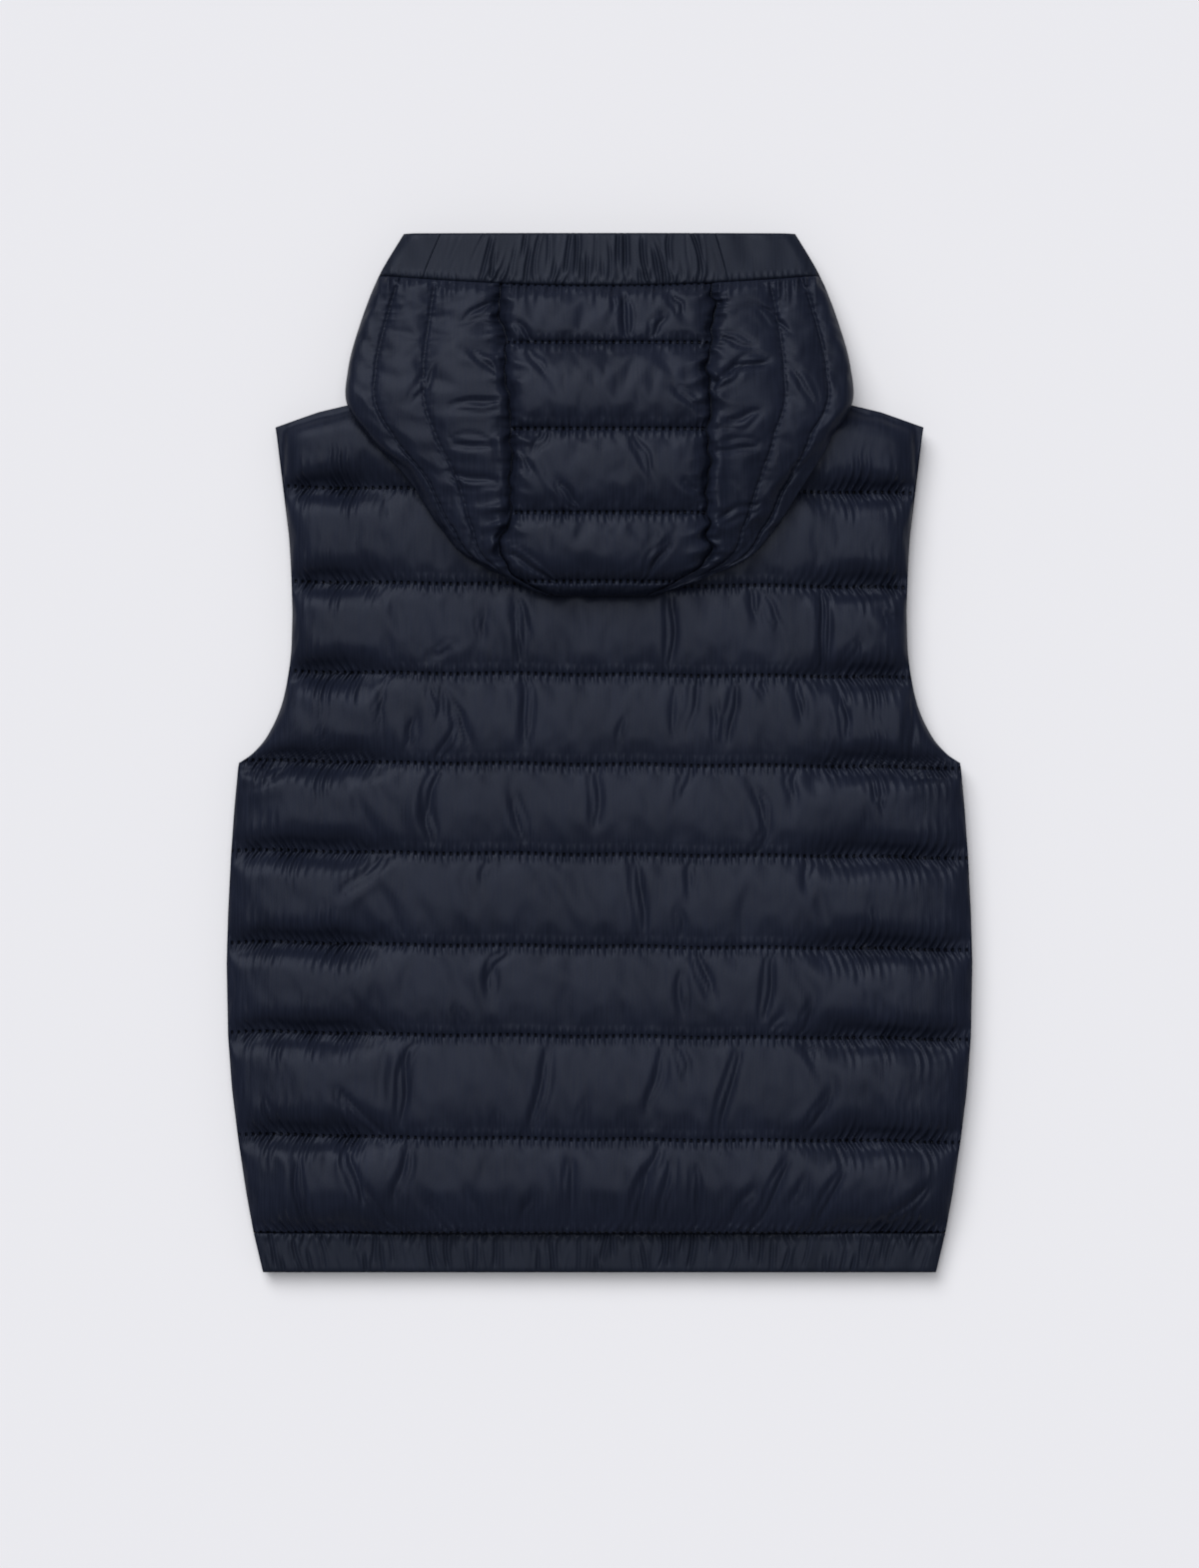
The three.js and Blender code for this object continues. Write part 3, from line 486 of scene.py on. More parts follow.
def pinches(table, x, y, width):
    """Pinched folds: a narrow ridge between two troughs, from a table of their two ends."""
    total = np.zeros(np.shape(x))
    for number, fold in enumerate(table):
        share, side, past = beside_fold(fold, x, y)
        near = (share > -0.6) & (share < 1.6) & (np.abs(side) < 14)
        share, side, past = share[near], side[near], past[near]
        side = side + (bend(share, number, PINCH_BEND) + PINCH_WAVE * np.sin(share * 7 + number))
        if number % 2:
            side = -side
        narrow = width * (0.25 + 0.75 * np.sin(ramp(share * 0.8 + 0.1) * math.pi)) + 0.3
        slit = bell(side + 0.5 * narrow, 0.42 * narrow)
        ridge = 0.65 * bell(side - 0.45 * narrow, 0.42 * narrow)
        second = 0.5 * bell(side - 1.35 * narrow, 0.45 * narrow)
        total[near] += fold[-1] * bell(past, width) * (slit - ridge + second)
    return total


print("a trough is", round(float(trough(0.0, 0.0, FOLD_WIDTH, 1.0)), 2), "deep in its middle")

# %% [markdown]
# ## The quilt lines
# A lockstitch draws the two layers together every 4 mm, so the cloth beside the line puckers in
# short creases. In the middle of the back they are tiny. In its outer third the wadding is thick
# and the line lies deep, so they are long there, and lean outwards from the line like arrowheads.

# %% Puckers beside a stitch line
STITCH_PITCH, PUCKER_PITCH = 4.0, 4.7
LINE_SLOPE, LINE_WAVER = 0.008, 0.5
OUTER_START, OUTER_WIDTH = 95.0, 55.0


def outer_share(x):
    """0 over the middle of the back and 1 in its outer thirds."""
    t = ramp(np.abs(x) - OUTER_START, OUTER_WIDTH)
    return t * t * (3 - 2 * t)


def line_wander(x):
    """How far a sewn line strays from its ruled place: a slight slope and a soft waver."""
    return -LINE_SLOPE * x + LINE_WAVER * wander(x, 0 * x, 40, 11)


def puckers(run, away, strength, seed, slant=0.0, reach=5.0, pitch=PUCKER_PITCH):
    """Height of short creases beside a stitch line, at a distance away from it."""
    waver = 0.16 * pitch * wander(run, 0 * run, 3 * pitch, seed)
    lean = slant * np.abs(away) * np.clip(1.25 - np.abs(away) / 24, 0.4, 1.25)
    phase = (run - lean + waver) * math.tau / pitch
    uneven = np.clip(0.75 + 0.5 * wander(run, 0 * run, 2 * pitch, seed + 2), 0.1, 1.6)
    long = reach * np.clip(1 + 0.4 * wander(run, np.sign(away) * 40, 2 * pitch, seed + 1), 0.4, 1.9)
    fade = np.exp(-(np.abs(away) / long) ** 1.8)
    near_line = np.clip(np.abs(away), 0.45, 1)
    sharp = 2.2 * (0.5 + 0.5 * np.sin(phase)) ** 2.2 - 0.8
    return strength * uneven * near_line * fade * sharp


def nearer(nearest, away):
    """The distance to the nearer one of two lines, with its sign."""
    return np.where(np.abs(away) < np.abs(nearest), away, nearest)


print("stitches are", STITCH_PITCH, "mm apart")

# %% [markdown]
# ## Materials
# The shell is thin filament taffeta that was calendered, pressed between hot rollers, so it has a
# low bluish sheen. The yarns' own uneven thickness shows as fine streaks down the cloth. Along
# each sewn line the needle left a hole every 4 mm, and the cloth is drawn into small creases.
# Every number that varies over a surface comes from nodes, so one function adds them all.

# %% Shader helpers
def linear(hex_colour):
    """An sRGB hex colour as linear numbers for a shader."""
    parts = [int(hex_colour[i:i + 2], 16) / 255 for i in (1, 3, 5)]
    return tuple(c / 12.92 if c <= 0.04045 else ((c + 0.055) / 1.055) ** 2.4 for c in parts) + (1.0,)


def add_node(material, kind, inputs=(), output=0, **settings):
    """Adds a node, fills its inputs with numbers or other outputs, and returns an output of it.

    The inputs are a list in the node's own order, or a dictionary by their names.
    """
    tree = material.node_tree
    node = tree.nodes.new(kind)
    for name, value in settings.items():
        setattr(node, name, value)
    pairs = inputs.items() if isinstance(inputs, dict) else enumerate(inputs)
    for socket, value in pairs:
        if isinstance(value, bpy.types.NodeSocket):
            tree.links.new(value, node.inputs[socket])
        else:
            node.inputs[socket].default_value = value
    return node.outputs[output]


def new_material(name, specular):
    """A material, and its shader with a set strength of reflection."""
    material = bpy.data.materials.new(name)
    material.use_nodes = True
    shader = material.node_tree.nodes["Principled BSDF"]
    shader.inputs["Specular IOR Level"].default_value = specular
    return material, shader


print("navy as linear numbers", [round(part, 3) for part in linear("#171B28")])

# %% [markdown]
# ## Patterns of the cloth
# Yarns are never even, and their thick places, called slubs, run down the cloth. Noise that is
# stretched along one direction of the cloth's map gives them. On the seam's map the same noise
# gives the creases across a sewn line, and a cosine along the line gives the needle holes.

# %% Slubs, holes and creases
MATHS, RANGE = "ShaderNodeMath", "ShaderNodeMapRange"
SMOOTH = {"interpolation_type": "SMOOTHSTEP"}
HOLE_NEARNESS, HOLE_WAVE = (0.87, 0.97), (0.2, 0.95)
CREASE_NEARNESS, DRAWN_IN = (0.3, 1), 0.32


def streaks(material, uv_map, width, length, detail):
    """Noise drawn out along the second direction of a UV map."""
    spot = add_node(material, "ShaderNodeUVMap", uv_map=uv_map)
    drawn = add_node(material, "ShaderNodeMapping", {"Vector": spot, "Scale": (1 / width, 1 / length, 1)})
    return add_node(material, "ShaderNodeTexNoise", {"Vector": drawn, "Scale": 1.0, "Detail": detail})


def seam_holes(material):
    """Nearness to a sewn line, a wave along it that peaks at each needle hole, and the holes."""
    spot = add_node(material, "ShaderNodeUVMap", uv_map="seam")
    run = add_node(material, "ShaderNodeSeparateXYZ", [spot])
    near = run.node.outputs["Y"]
    turn = add_node(material, MATHS, [run, math.tau / (STITCH_PITCH * MM)], operation="MULTIPLY")
    wave = add_node(material, MATHS, [turn], operation="COSINE")
    on_line = add_node(material, RANGE, [near, *HOLE_NEARNESS, 0, 1], **SMOOTH)
    at_hole = add_node(material, RANGE, [wave, *HOLE_WAVE, 0, 1], **SMOOTH)
    return near, wave, add_node(material, MATHS, [at_hole, on_line], operation="MULTIPLY")


def seam_creases(material, near, wave):
    """Creases across a sewn line, drawn in at each hole and gone where the line is far."""
    creases = streaks(material, "seam", CREASE_WIDTH, CREASE_LENGTH, 1)
    drawn_in = add_node(material, MATHS, [wave, DRAWN_IN], operation="MULTIPLY")
    creases = add_node(material, MATHS, [creases, drawn_in], operation="SUBTRACT")
    beside = add_node(material, RANGE, [near, *CREASE_NEARNESS, 0, 1], **SMOOTH)
    return add_node(material, MATHS, [creases, beside], operation="MULTIPLY")


print("a needle hole every", STITCH_PITCH, "mm")

# %% [markdown]
# ## From patterns to a material
# The patterns change three things: the tone, the relief and the roughness. The tone is also darker
# in each needle hole, as painted shade. Cloth gets its relief in two steps, coarse creases first and
# the fine slubs on top. Plastic, paint and thread have only a fine grain, on Object coordinates,
# because they don't bend.

# %% Makers of materials
SHEEN_COLOUR = "#D3DBEF"
SLUB_RANGE, SLUB_TONE, SLUB_ROUGHNESS = (0.25, 0.75), (0.86, 1.14), 0.06
PATCH_RANGE, PATCH_TONE = (0.3, 0.7), (0.92, 1.08)
GRAIN_RANGE, GRAIN_TONE, GRAIN_ROUGHNESS = (0.3, 0.7), (0.85, 1.15), 0.05
# Painted shade: the needle holes are darkened to this share of the cloth's tone.
PAINTED_HOLE_SHADE = 0.12


def make_cloth(name, colour, roughness, specular):
    """Thin filament cloth: slubs along its length, soft patches, needle holes darkened by painted shade,
    and seam creases.
    """
    material, shader = new_material(name, specular)
    shader.inputs["Specular Tint"].default_value = linear(SHEEN_COLOUR)
    slubs = streaks(material, "cloth", SLUB_WIDTH, SLUB_LENGTH, 3)
    patches = streaks(material, "cloth", PATCH_SIZE, PATCH_SIZE, 2)
    near, wave, holes = seam_holes(material)
    tone = add_node(material, RANGE, [slubs, *SLUB_RANGE, *SLUB_TONE], **SMOOTH)
    patch_tone = add_node(material, RANGE, [patches, *PATCH_RANGE, *PATCH_TONE], **SMOOTH)
    # Painted shade: the cloth's colour darkens in each needle hole.
    painted_hole_shade = add_node(material, RANGE, [holes, 0, 1, 1, PAINTED_HOLE_SHADE], **SMOOTH)
    tone = add_node(material, MATHS, [tone, patch_tone], operation="MULTIPLY")
    tone = add_node(material, MATHS, [tone, painted_hole_shade], operation="MULTIPLY")
    tint = add_node(material, "ShaderNodeHueSaturation", {"Value": tone, "Color": linear(colour)})
    creases = seam_creases(material, near, wave)
    relief = add_node(material, MATHS, [creases, holes], operation="SUBTRACT")
    coarse = add_node(material, "ShaderNodeBump",
                      {"Height": relief, "Distance": CREASE_DEPTH, "Strength": 1.0})
    fine = add_node(material, "ShaderNodeBump",
                    {"Height": slubs, "Normal": coarse, "Distance": SLUB_DEPTH, "Strength": 1.0})
    limits = roughness - SLUB_ROUGHNESS, roughness + SLUB_ROUGHNESS
    rough = add_node(material, RANGE, [slubs, *SLUB_RANGE, *limits], **SMOOTH)
    for socket, source in (("Base Color", tint), ("Normal", fine), ("Roughness", rough)):
        material.node_tree.links.new(source, shader.inputs[socket])
    return material


def make_solid(name, colour, roughness, specular, grain, depth):
    """Plastic, paint or thread, with a fine grain over its surface."""
    material, shader = new_material(name, specular)
    spot = add_node(material, "ShaderNodeTexCoord", output="Object")
    noise = add_node(material, "ShaderNodeTexNoise", {"Vector": spot, "Scale": 1 / grain, "Detail": 2.0})
    tone = add_node(material, RANGE, [noise, *GRAIN_RANGE, *GRAIN_TONE], **SMOOTH)
    tint = add_node(material, "ShaderNodeHueSaturation", {"Value": tone, "Color": linear(colour)})
    bump = add_node(material, "ShaderNodeBump", {"Height": noise, "Distance": depth, "Strength": 1.0})
    limits = roughness - GRAIN_ROUGHNESS, roughness + GRAIN_ROUGHNESS
    rough = add_node(material, RANGE, [noise, *GRAIN_RANGE, *limits], **SMOOTH)
    for socket, source in (("Base Color", tint), ("Normal", bump), ("Roughness", rough)):
        material.node_tree.links.new(source, shader.inputs[socket])
    return material


print("sheen as linear numbers", [round(part, 2) for part in linear(SHEEN_COLOUR)])

# %% [markdown]
# ## The cloths and the hard parts
# A real slub is about 0.3 mm wide. Here it is 0.9 mm, coarser than life, because a narrower one
# would vanish at the picture's size, and so are the creases, which are really under 1 mm wide.
# The length of a crease is in the seam map's nearness, which is 1 on the line and 0 at 10 mm.
# The zip's tape is a heavier weave and has no sheen, and its teeth and slider are quite plain.

# %% Cloths, thread, plastic and paint
SLUB_WIDTH, SLUB_LENGTH, SLUB_DEPTH = 0.9 * MM, 22 * MM, 0.06 * MM
PATCH_SIZE = 40 * MM
CREASE_WIDTH, CREASE_LENGTH, CREASE_DEPTH = 1.7 * MM, 1.2, 0.95 * MM
taffeta = make_cloth("calendered polyester taffeta", "#171B28", 0.36, 0.12)
band_taffeta = make_cloth("gathered polyester taffeta", "#181C27", 0.4, 0.13)
zip_cloth = make_cloth("woven polyester zip tape", "#14161D", 0.7, 0.2)
thread = make_solid("twisted polyester thread", "#1A1E2A", 0.6, 0.1, 0.4 * MM, 0.05 * MM)
moulded_teeth = make_solid("injection-moulded acetal", "#101218", 0.35, 0.5, 0.8 * MM, 0.01 * MM)
painted_zinc = make_solid("painted die-cast zinc", "#22242B", 0.3, 0.5, 0.5 * MM, 0.02 * MM)
print(len(bpy.data.materials), "materials")

# %% [markdown]
# ## The back
# The back is cut in one piece and sewn across in eight lines, so nine rows of wadding stand up
# between them. They could be nine tubes, but real puffs share one cloth, whose folds run on into
# the lines. So one grid is laid out with its rows crowded at the lines, and then blown up.

# %% Layout of the back
GRID_ACROSS, ROWS_IN_PUFF = 180, 15
ROW_HEIGHT = 52
COLUMN_CROWD = 0.12
STARTING_LOFT = 0.84
SHALLOW, GROOVE_FLOOR = 0.34, 0.075
DIMPLE, DIMPLE_SIZE = 0.12, 9
THINNEST, INNER_LIFT = 0.8, 0.1
BACK_SLACK, BACK_PRESSURE = (0.004, 0.045), 1.4
FAR = 1000.0


def body_spot(u, v, top):
    """Place in the plane of a point of the body: u across, v down from the shoulders."""
    tip_x = u * SHOULDER_TIP
    tip_y = np.interp(np.abs(tip_x), TOP_X, top)
    y = np.interp(v, np.arange(1, PUFFS + 1), QUILT_LINES)
    x = u * half_width(y)
    return np.where(v < 1, mix(tip_x, x, ramp(v)), x), np.where(v < 1, mix(tip_y, y, ramp(v)), y)


def at_ends(share):
    """Whether a share of the way across is at either end of it."""
    return (share < 1e-4) | (share > 1 - 1e-4)


def dimples(x, y, seed):
    return DIMPLE * wander(x, y, DIMPLE_SIZE, seed)


def lay_out_back(across, row):
    """Place of each point before the back is blown up, and how far through its puff it lies."""
    puff_number = np.minimum(row // ROWS_IN_PUFF, PUFFS - 1)
    t = crowd(row / ROWS_IN_PUFF - puff_number)
    v = puff_number + t
    u = across * 2 - 1
    x, y = body_spot(u + COLUMN_CROWD * np.sin(u * math.pi), v, TOP_BACK)
    sewn = (v > 0.5) & (v < PUFFS - 0.5)
    y = y + np.where(sewn, line_wander(x) * ramp(from_side(x, y), 20), 0)
    fall = edge_shape(from_side(x, y), mix(SIDE_FALL, ARMHOLE_FALL, ramp(y + 30, 50)))
    groove = mix(SHALLOW, 1, outer_share(x))
    floor = GROOVE_FLOOR * outer_share(x)
    past_floor = ramp(t - floor, 1 - 2 * floor)
    loft = STARTING_LOFT * PUFF * (1 - groove * (1 - puff_shape(past_floor)))
    z = front_top(y) + GAP + EDGE_THICK + fall * (STITCH_RISE + loft)
    return x, y, z, t


print("grid of the back:", GRID_ACROSS, "by", PUFFS * ROWS_IN_PUFF, "before it is refined")

# %% [markdown]
# ## Detail of the back
# The blown-up sheet is refined, and then each sewn line gets its puckers, a narrow groove and, in
# the outer thirds, a valley. At the hem seam the elastic draws the cloth in, so the puckers there
# are longer. The detail goes on last, because the solver would smooth it away.

# %% Back
VALLEY, VALLEY_WIDTH = 1.2, 5.5
SLANT = 0.7
STITCH_GROOVE, STITCH_GROOVE_WIDTH = 0.45, 1.2
MIDDLE_PUCKER, HEM_PUCKER, OUTER_PUCKER = 0.22, 0.95, 1.3
MIDDLE_REACH, HEM_REACH, OUTER_REACH = 3.6, 6.0, 9.5
TROUGH_DEPTH, PINCH_DEPTH, PINCH_WIDTH = 1.2, 1.1, 2.5
OUT_AT_LINE, OUT_REACH, OUT_AT_FOLD = 0.25, 7, 0.9
SIDE_FADE = 10


def detail_back(piece):
    x, y = read_cloth(piece)
    points = read_points(piece.data) / MM
    sides = ramp(from_side(x, y), SIDE_FADE)
    outer = outer_share(x) * sides
    nearest = np.full(len(x), FAR)
    for number, line in enumerate(QUILT_LINES):
        at_hem = number == PUFFS - 1
        away = y - (line + line_wander(x) * (not at_hem))
        nearest = nearer(nearest, away)
        strength = mix(HEM_PUCKER if at_hem else MIDDLE_PUCKER, OUTER_PUCKER, outer) * sides
        reach = mix(HEM_REACH if at_hem else MIDDLE_REACH, OUTER_REACH, outer)
        points[:, 2] += puckers(np.abs(x), away, strength, 20 + 5 * number, SLANT, reach)
        points[:, 2] -= STITCH_GROOVE * bell(away, STITCH_GROOVE_WIDTH) * sides
        points[:, 2] -= VALLEY * outer * bell(away, VALLEY_WIDTH) * (not at_hem)
    points[:, 2] -= PINCH_DEPTH * pinches(BACK_FOLDS, x, y, PINCH_WIDTH) * sides
    points[:, 2] = np.maximum(points[:, 2], front_top(y) + GAP + THINNEST)
    mark_seam(piece, x - np.sign(x) * SLANT * np.abs(nearest) * outer, nearest)
    set_points(piece, points)


def make_back():
    """Makes the back and returns the lines that it is sewn along, from the top down."""
    piece, across, along = new_sheet("back", GRID_ACROSS, PUFFS * ROWS_IN_PUFF)
    row = np.rint((1 - along) * PUFFS * ROWS_IN_PUFF).astype(int)
    x, y, z, t = lay_out_back(across, row)
    folds = back_troughs(x, y)
    pinned = (row % ROWS_IN_PUFF == 0) | at_ends(across)
    z = z + np.where(pinned, 0, dimples(x, y, 3) - TROUGH_DEPTH * folds * puff_shape(t))
    mark_cloth(piece, x, y)
    beside_line = bell(np.minimum(t, 1 - t) * ROW_HEIGHT, OUT_REACH)
    let_out = OUT_AT_LINE * beside_line + OUT_AT_FOLD * np.abs(folds)
    points = np.stack([x, y, z], axis=1)
    points = puff_up(piece, points, pinned, let_out, BACK_SLACK, BACK_PRESSURE)
    lines = [points[row == number * ROWS_IN_PUFF] for number in range(1, PUFFS)]
    for line in lines:
        inside = ramp(from_side(line[:, 0], line[:, 1]), SIDE_FADE)
        line[:, 2] -= VALLEY * outer_share(line[:, 0]) * inside
    refine(piece)
    detail_back(piece)
    close_flat(piece, lambda py: front_top(py) + GAP + INNER_LIFT)
    finish_piece(piece, taffeta, "taffeta", "back", fill=0.5)
    return lines


back_lines = make_back()

# %% [markdown]
# ## The hood
# The hood is a bag of three panels, a crown and two sides, gathered onto an elastic band at its
# mouth. Turned down, it lies on the back in folded layers. The table below gives its outline, its
# two crown seams and how high those layers stand, from the fold at the bottom up to the mouth.

# %% Sizes of the hood
HOOD_Y = [89.0, 94.0, 100.3, 108.8, 128.0, 154.0, 178.3, 196.9, 216.1, 243.2, 270.4, 294.1]
HOOD_TABLE = {
    "half": [30, 42, 54.8, 71.8, 90.4, 107.4, 130, 142.4, 142.1, 135.3, 124.6, 110.7],
    "left": [26, 38, 49, 54, 52, 50, 50, 50, 52, 54, 56, 52],
    "right": [26, 38, 50, 60, 61, 61, 62, 62, 62, 63, 63, 57],
    "edge": [30, 31, 31, 31, 31, 31, 31, 30, 26, 21, 20, 19.5],
    "mid": [31, 34.5, 37, 39, 40.5, 41, 41, 40, 37, 30, 25.5, 21.5],
}
HOOD_BOTTOM, HOOD_SEAM, HOOD_MOUTH = 89.0, 270.4, 294.1
SWELL_Y = [89, 97, 108, 122, 141, 154, 166, 180]
SWELL = [0, 7, 9.5, 9.5, 9.5, 9.5, 6, 0]
SEAM_DIP = 6.3
SEAM_GAP = 0.5
JOIN_GAP = 0.03
HOOD_STITCH = 3.2
CROWN_LINES = [HOOD_BOTTOM, 96.9, 135.3, 182.2, 231.4, HOOD_SEAM - JOIN_GAP]
CROWN_PUFF, SIDE_PUFF = 6.2, 5.0
SIDE_LINES = [0, 0.52, 0.82, 1]
SIDE_HOLES_HIDDEN = 3.6
BAND_JOIN_LEFT, BAND_JOIN_RIGHT = 0.64, 0.15
print("hood", 2 * max(HOOD_TABLE["half"]), "mm wide and", round(HOOD_MOUTH - HOOD_BOTTOM, 1), "mm long")

# %% [markdown]
# ## The surface of the folded hood
# The table has only twelve heights, and straight lines between them would show as corners in the
# outline. So its columns are read through a smooth curve. The layers stand highest in the middle
# and fall to the sides as a dome, on which the panels are laid.

# %% Surface of the hood
def hood_at(y, column):
    """Smooth curve through one column of the hood's table."""
    y_knots = np.array(HOOD_Y)
    values = np.array(HOOD_TABLE[column], dtype=float)
    slopes = np.gradient(values, y_knots)
    i = np.clip(np.searchsorted(y_knots, y) - 1, 0, len(y_knots) - 2)
    span = y_knots[i + 1] - y_knots[i]
    t = ramp(y - y_knots[i], span)
    rise = (2 * t ** 3 - 3 * t ** 2 + 1) * values[i] + (3 * t ** 2 - 2 * t ** 3) * values[i + 1]
    return rise + span * ((t ** 3 - 2 * t ** 2 + t) * slopes[i] + (t ** 3 - t ** 2) * slopes[i + 1])


def crown_seam(y, side):
    """Distance from the middle to a seam of the crown."""
    return hood_at(y, "left" if side < 0 else "right")


def bowed(x, y):
    """Rows near the seam of the band dip towards the middle as that seam does."""
    share = np.where(y <= HOOD_SEAM, ramp(y - CROWN_LINES[4], HOOD_SEAM - CROWN_LINES[4]),
                     ramp(HOOD_MOUTH - y, HOOD_MOUTH - HOOD_SEAM))
    return y - SEAM_DIP * share * (1 - (x / hood_at(y, "half")) ** 2)


def hood_level(x, y):
    """Top of the folded layers that the hood's panels lie on."""
    half = hood_at(y, "half")
    dome = 1 - ramp(np.abs(x), half) ** 2.4
    inside = ramp(np.minimum(half - np.abs(x), y - HOOD_BOTTOM), 8)
    return mix(hood_at(y, "edge"), hood_at(y, "mid"), dome) - 3 * (1 - inside) ** 2


def side_half(y, side):
    """Half width of the hood, whose right side spreads further over the back near its bottom."""
    swell = np.interp(y, SWELL_Y, SWELL) if side > 0 else 0
    return hood_at(y, "half") + swell


def side_place(y, share, side):
    """Place across of a point that lies a share of the way out from the crown's seam."""
    return side * mix(crown_seam(y, side) + SEAM_GAP / 2, side_half(y, side), share)


print("hood's layers stand", round(float(hood_level(0.0, 160.0)), 1), "mm high in its middle")

# %% [markdown]
# ## A panel that lies on a dome
# The hood's panels have no flat side, so each gets a second sheet as its inner face, a copy of the
# outer one laid on the folded layers. Bridging the two edges closes the piece all round.

# %% Close a domed panel
def close_on_hood(piece):
    """Gives a sheet an inner face on the hood's layers, and joins both round the edge."""
    bm = bmesh.new()
    bm.from_mesh(piece.data)
    outer_rim = open_edges_of(bm.edges)
    copy = bmesh.ops.duplicate(bm, geom=bm.verts[:] + bm.edges[:] + bm.faces[:])["geom"]
    inner = points_of(copy)
    inner_rim = open_edges_of(copy)
    spots = np.array([vert.co[:2] for vert in inner]) / MM
    levels = hood_level(spots[:, 0], spots[:, 1]) + GAP + INNER_LIFT
    for vert, height in zip(inner, levels):
        vert.co.z = min(height * MM, vert.co.z - 0.5 * MM)
    bmesh.ops.bridge_loops(bm, edges=outer_rim + inner_rim)
    bmesh.ops.recalc_face_normals(bm, faces=bm.faces)
    bm.to_mesh(piece.data)
    bm.free()


def line_rows(lines, rows):
    """Places of the rows of a panel with a number of rows in each puff, crowded at the lines."""
    places = [np.array([lines[0]])]
    for low, high, count in zip(lines[:-1], lines[1:], rows):
        places.append(mix(low, high, crowd(np.arange(1, count + 1) / count)))
    return np.concatenate(places)


def through_puff(lines, place):
    """How far a place lies through its own puff, from 0 at one line to 1 at the next."""
    i = np.clip(np.searchsorted(lines, place) - 1, 0, len(lines) - 2)
    low, high = np.array(lines)[i], np.array(lines)[i + 1]
    return ramp(place - low, high - low)


print("five rows of a 40 mm puff lie at", np.round(line_rows([0, 40], (4,)), 1))

# %% [markdown]
# ## A quilted panel of the hood
# The crown and the sides go through the same steps as the back, with more slack, since the hood's
# cloth is fuller. Their seams are eased in, so they waver and lie in an uneven valley.

# %% Steps of a panel
HOOD_SLACK, HOOD_PRESSURE = (0.01, 0.1), 3.0
HOOD_TROUGH, HOOD_OUT_AT_FOLD = 1.3, 1.1


def blow_up_panel(piece, x, y, z, shape, folds, pinned, let_out, seed):
    """Blows up a panel of the hood, refines it, and returns its first points as they then lie."""
    z = z + np.where(pinned, 0, dimples(x, y, seed) - HOOD_TROUGH * folds * shape)
    mark_cloth(piece, x, y)
    points = np.stack([x, bowed(x, y), z], axis=1)
    let_out = let_out + HOOD_OUT_AT_FOLD * np.abs(folds)
    points = puff_up(piece, points, pinned, let_out, HOOD_SLACK, HOOD_PRESSURE)
    refine(piece)
    return points


def finish_panel(piece, name, points, x, y):
    """Holds a panel off the layers below it, and closes and finishes it."""
    points[:, 2] = np.maximum(points[:, 2], hood_level(x, y) + GAP + THINNEST)
    set_points(piece, points)
    close_on_hood(piece)
    finish_piece(piece, taffeta, "taffeta", name, fill=0.5)


def seam_waver(y, side, away):
    """How far a puckered seam of the crown strays sideways, fading away from the seam."""
    waver = 1.1 * wander(y, 0 * y, 5, 200 + side) + 0.9 * wander(y, 0 * y, 14, 204 + side)
    return waver * ramp(HOOD_SEAM - y, 12) * ramp(y - HOOD_BOTTOM, 12) * bell(away, 6)


def seam_valley(y, away, seed):
    """Depth of the uneven valley that a puckered seam lies in."""
    uneven = np.clip(0.75 + 0.5 * wander(y, 0 * y, 7, seed + 3), 0.1, 1.4)
    return 1.6 * uneven * bell(away, 2.6)


print("the hood's cloth is let out by up to", 100 * HOOD_SLACK[1], "%")

# %% [markdown]
# ## Crown of the hood
# Three sewn lines show across the crown and a fourth lies by the fold at its bottom. Its two side
# seams are eased in, so the cloth is full of puckers along them: short ones, and wide ones whose
# pitch is named ease here. More cloth is let out there before the solver blows the panel up.

# %% Detail of the crown
CROWN_FOLDS = [
    # from x, from y, to x, to y, depth
    (-45, 242, -39, 232, 1.0), (14, 259, 15, 237, 1.0), (36, 248, 30, 237, 0.8), (9, 265, 9, 253, 0.6),
    (41, 261, 46, 251, 0.8), (-29, 180, -36, 171, 0.6), (-22, 150, -13, 139, 0.9),
    (-51, 114, -27, 98, 0.9), (38, 117, 25, 99, 0.9), (-40, 226, -30, 214, 0.5), (20, 176, 28, 160, 0.5),
    (44, 204, 56, 196, 0.7), (-46, 168, -38, 158, 0.7), (48, 152, 58, 146, 0.7),
]
CROWN_EASE = 10.5
CROWN_PINCH, CROWN_PINCH_WIDTH = 1.4, 2.6


def detail_crown(piece, x, y):
    """The puckers, grooves and pinched folds of the crown, as moved points."""
    points = read_points(piece.data) / MM
    to_left, to_right = x + crown_seam(y, -1), crown_seam(y, 1) - x
    nearest = np.full(len(x), FAR)
    for number, line in enumerate(CROWN_LINES[1:]):
        away = y - line
        nearest = nearer(nearest, away)
        at_band = number == len(CROWN_LINES) - 2
        strength = (1.0 if at_band else 0.3) * ramp(np.minimum(to_left, to_right), 6)
        points[:, 2] += puckers(x, away, strength, 50 + 5 * number, reach=8.0 if at_band else 4.5)
        points[:, 2] -= STITCH_GROOVE * bell(away, STITCH_GROOVE_WIDTH)
    for seed, away in ((60, to_left), (64, to_right)):
        points[:, 2] += puckers(y, away, 0.9, seed)
        points[:, 2] += puckers(y, away, 1.1, seed + 2, -0.6, 8.0, CROWN_EASE)
        points[:, 2] -= seam_valley(y, away, seed)
    points[:, 2] -= CROWN_PINCH * pinches(CROWN_FOLDS, x, y, CROWN_PINCH_WIDTH)
    points[:, 0] += seam_waver(y, -1, to_left) + seam_waver(y, 1, to_right)
    mark_seam(piece, x, nearest)
    return points


print(len(CROWN_FOLDS), "folds on the crown")

# %% [markdown]
# ## The crown as a whole
# The crown is laid out row by row between its two seams, low at each seam and line and full
# between them. The solver adds the small folds, and the detail goes on after it.

# %% Crown
CROWN_ROWS, CROWN_COLUMNS = (4, 15, 19, 20, 16), 54


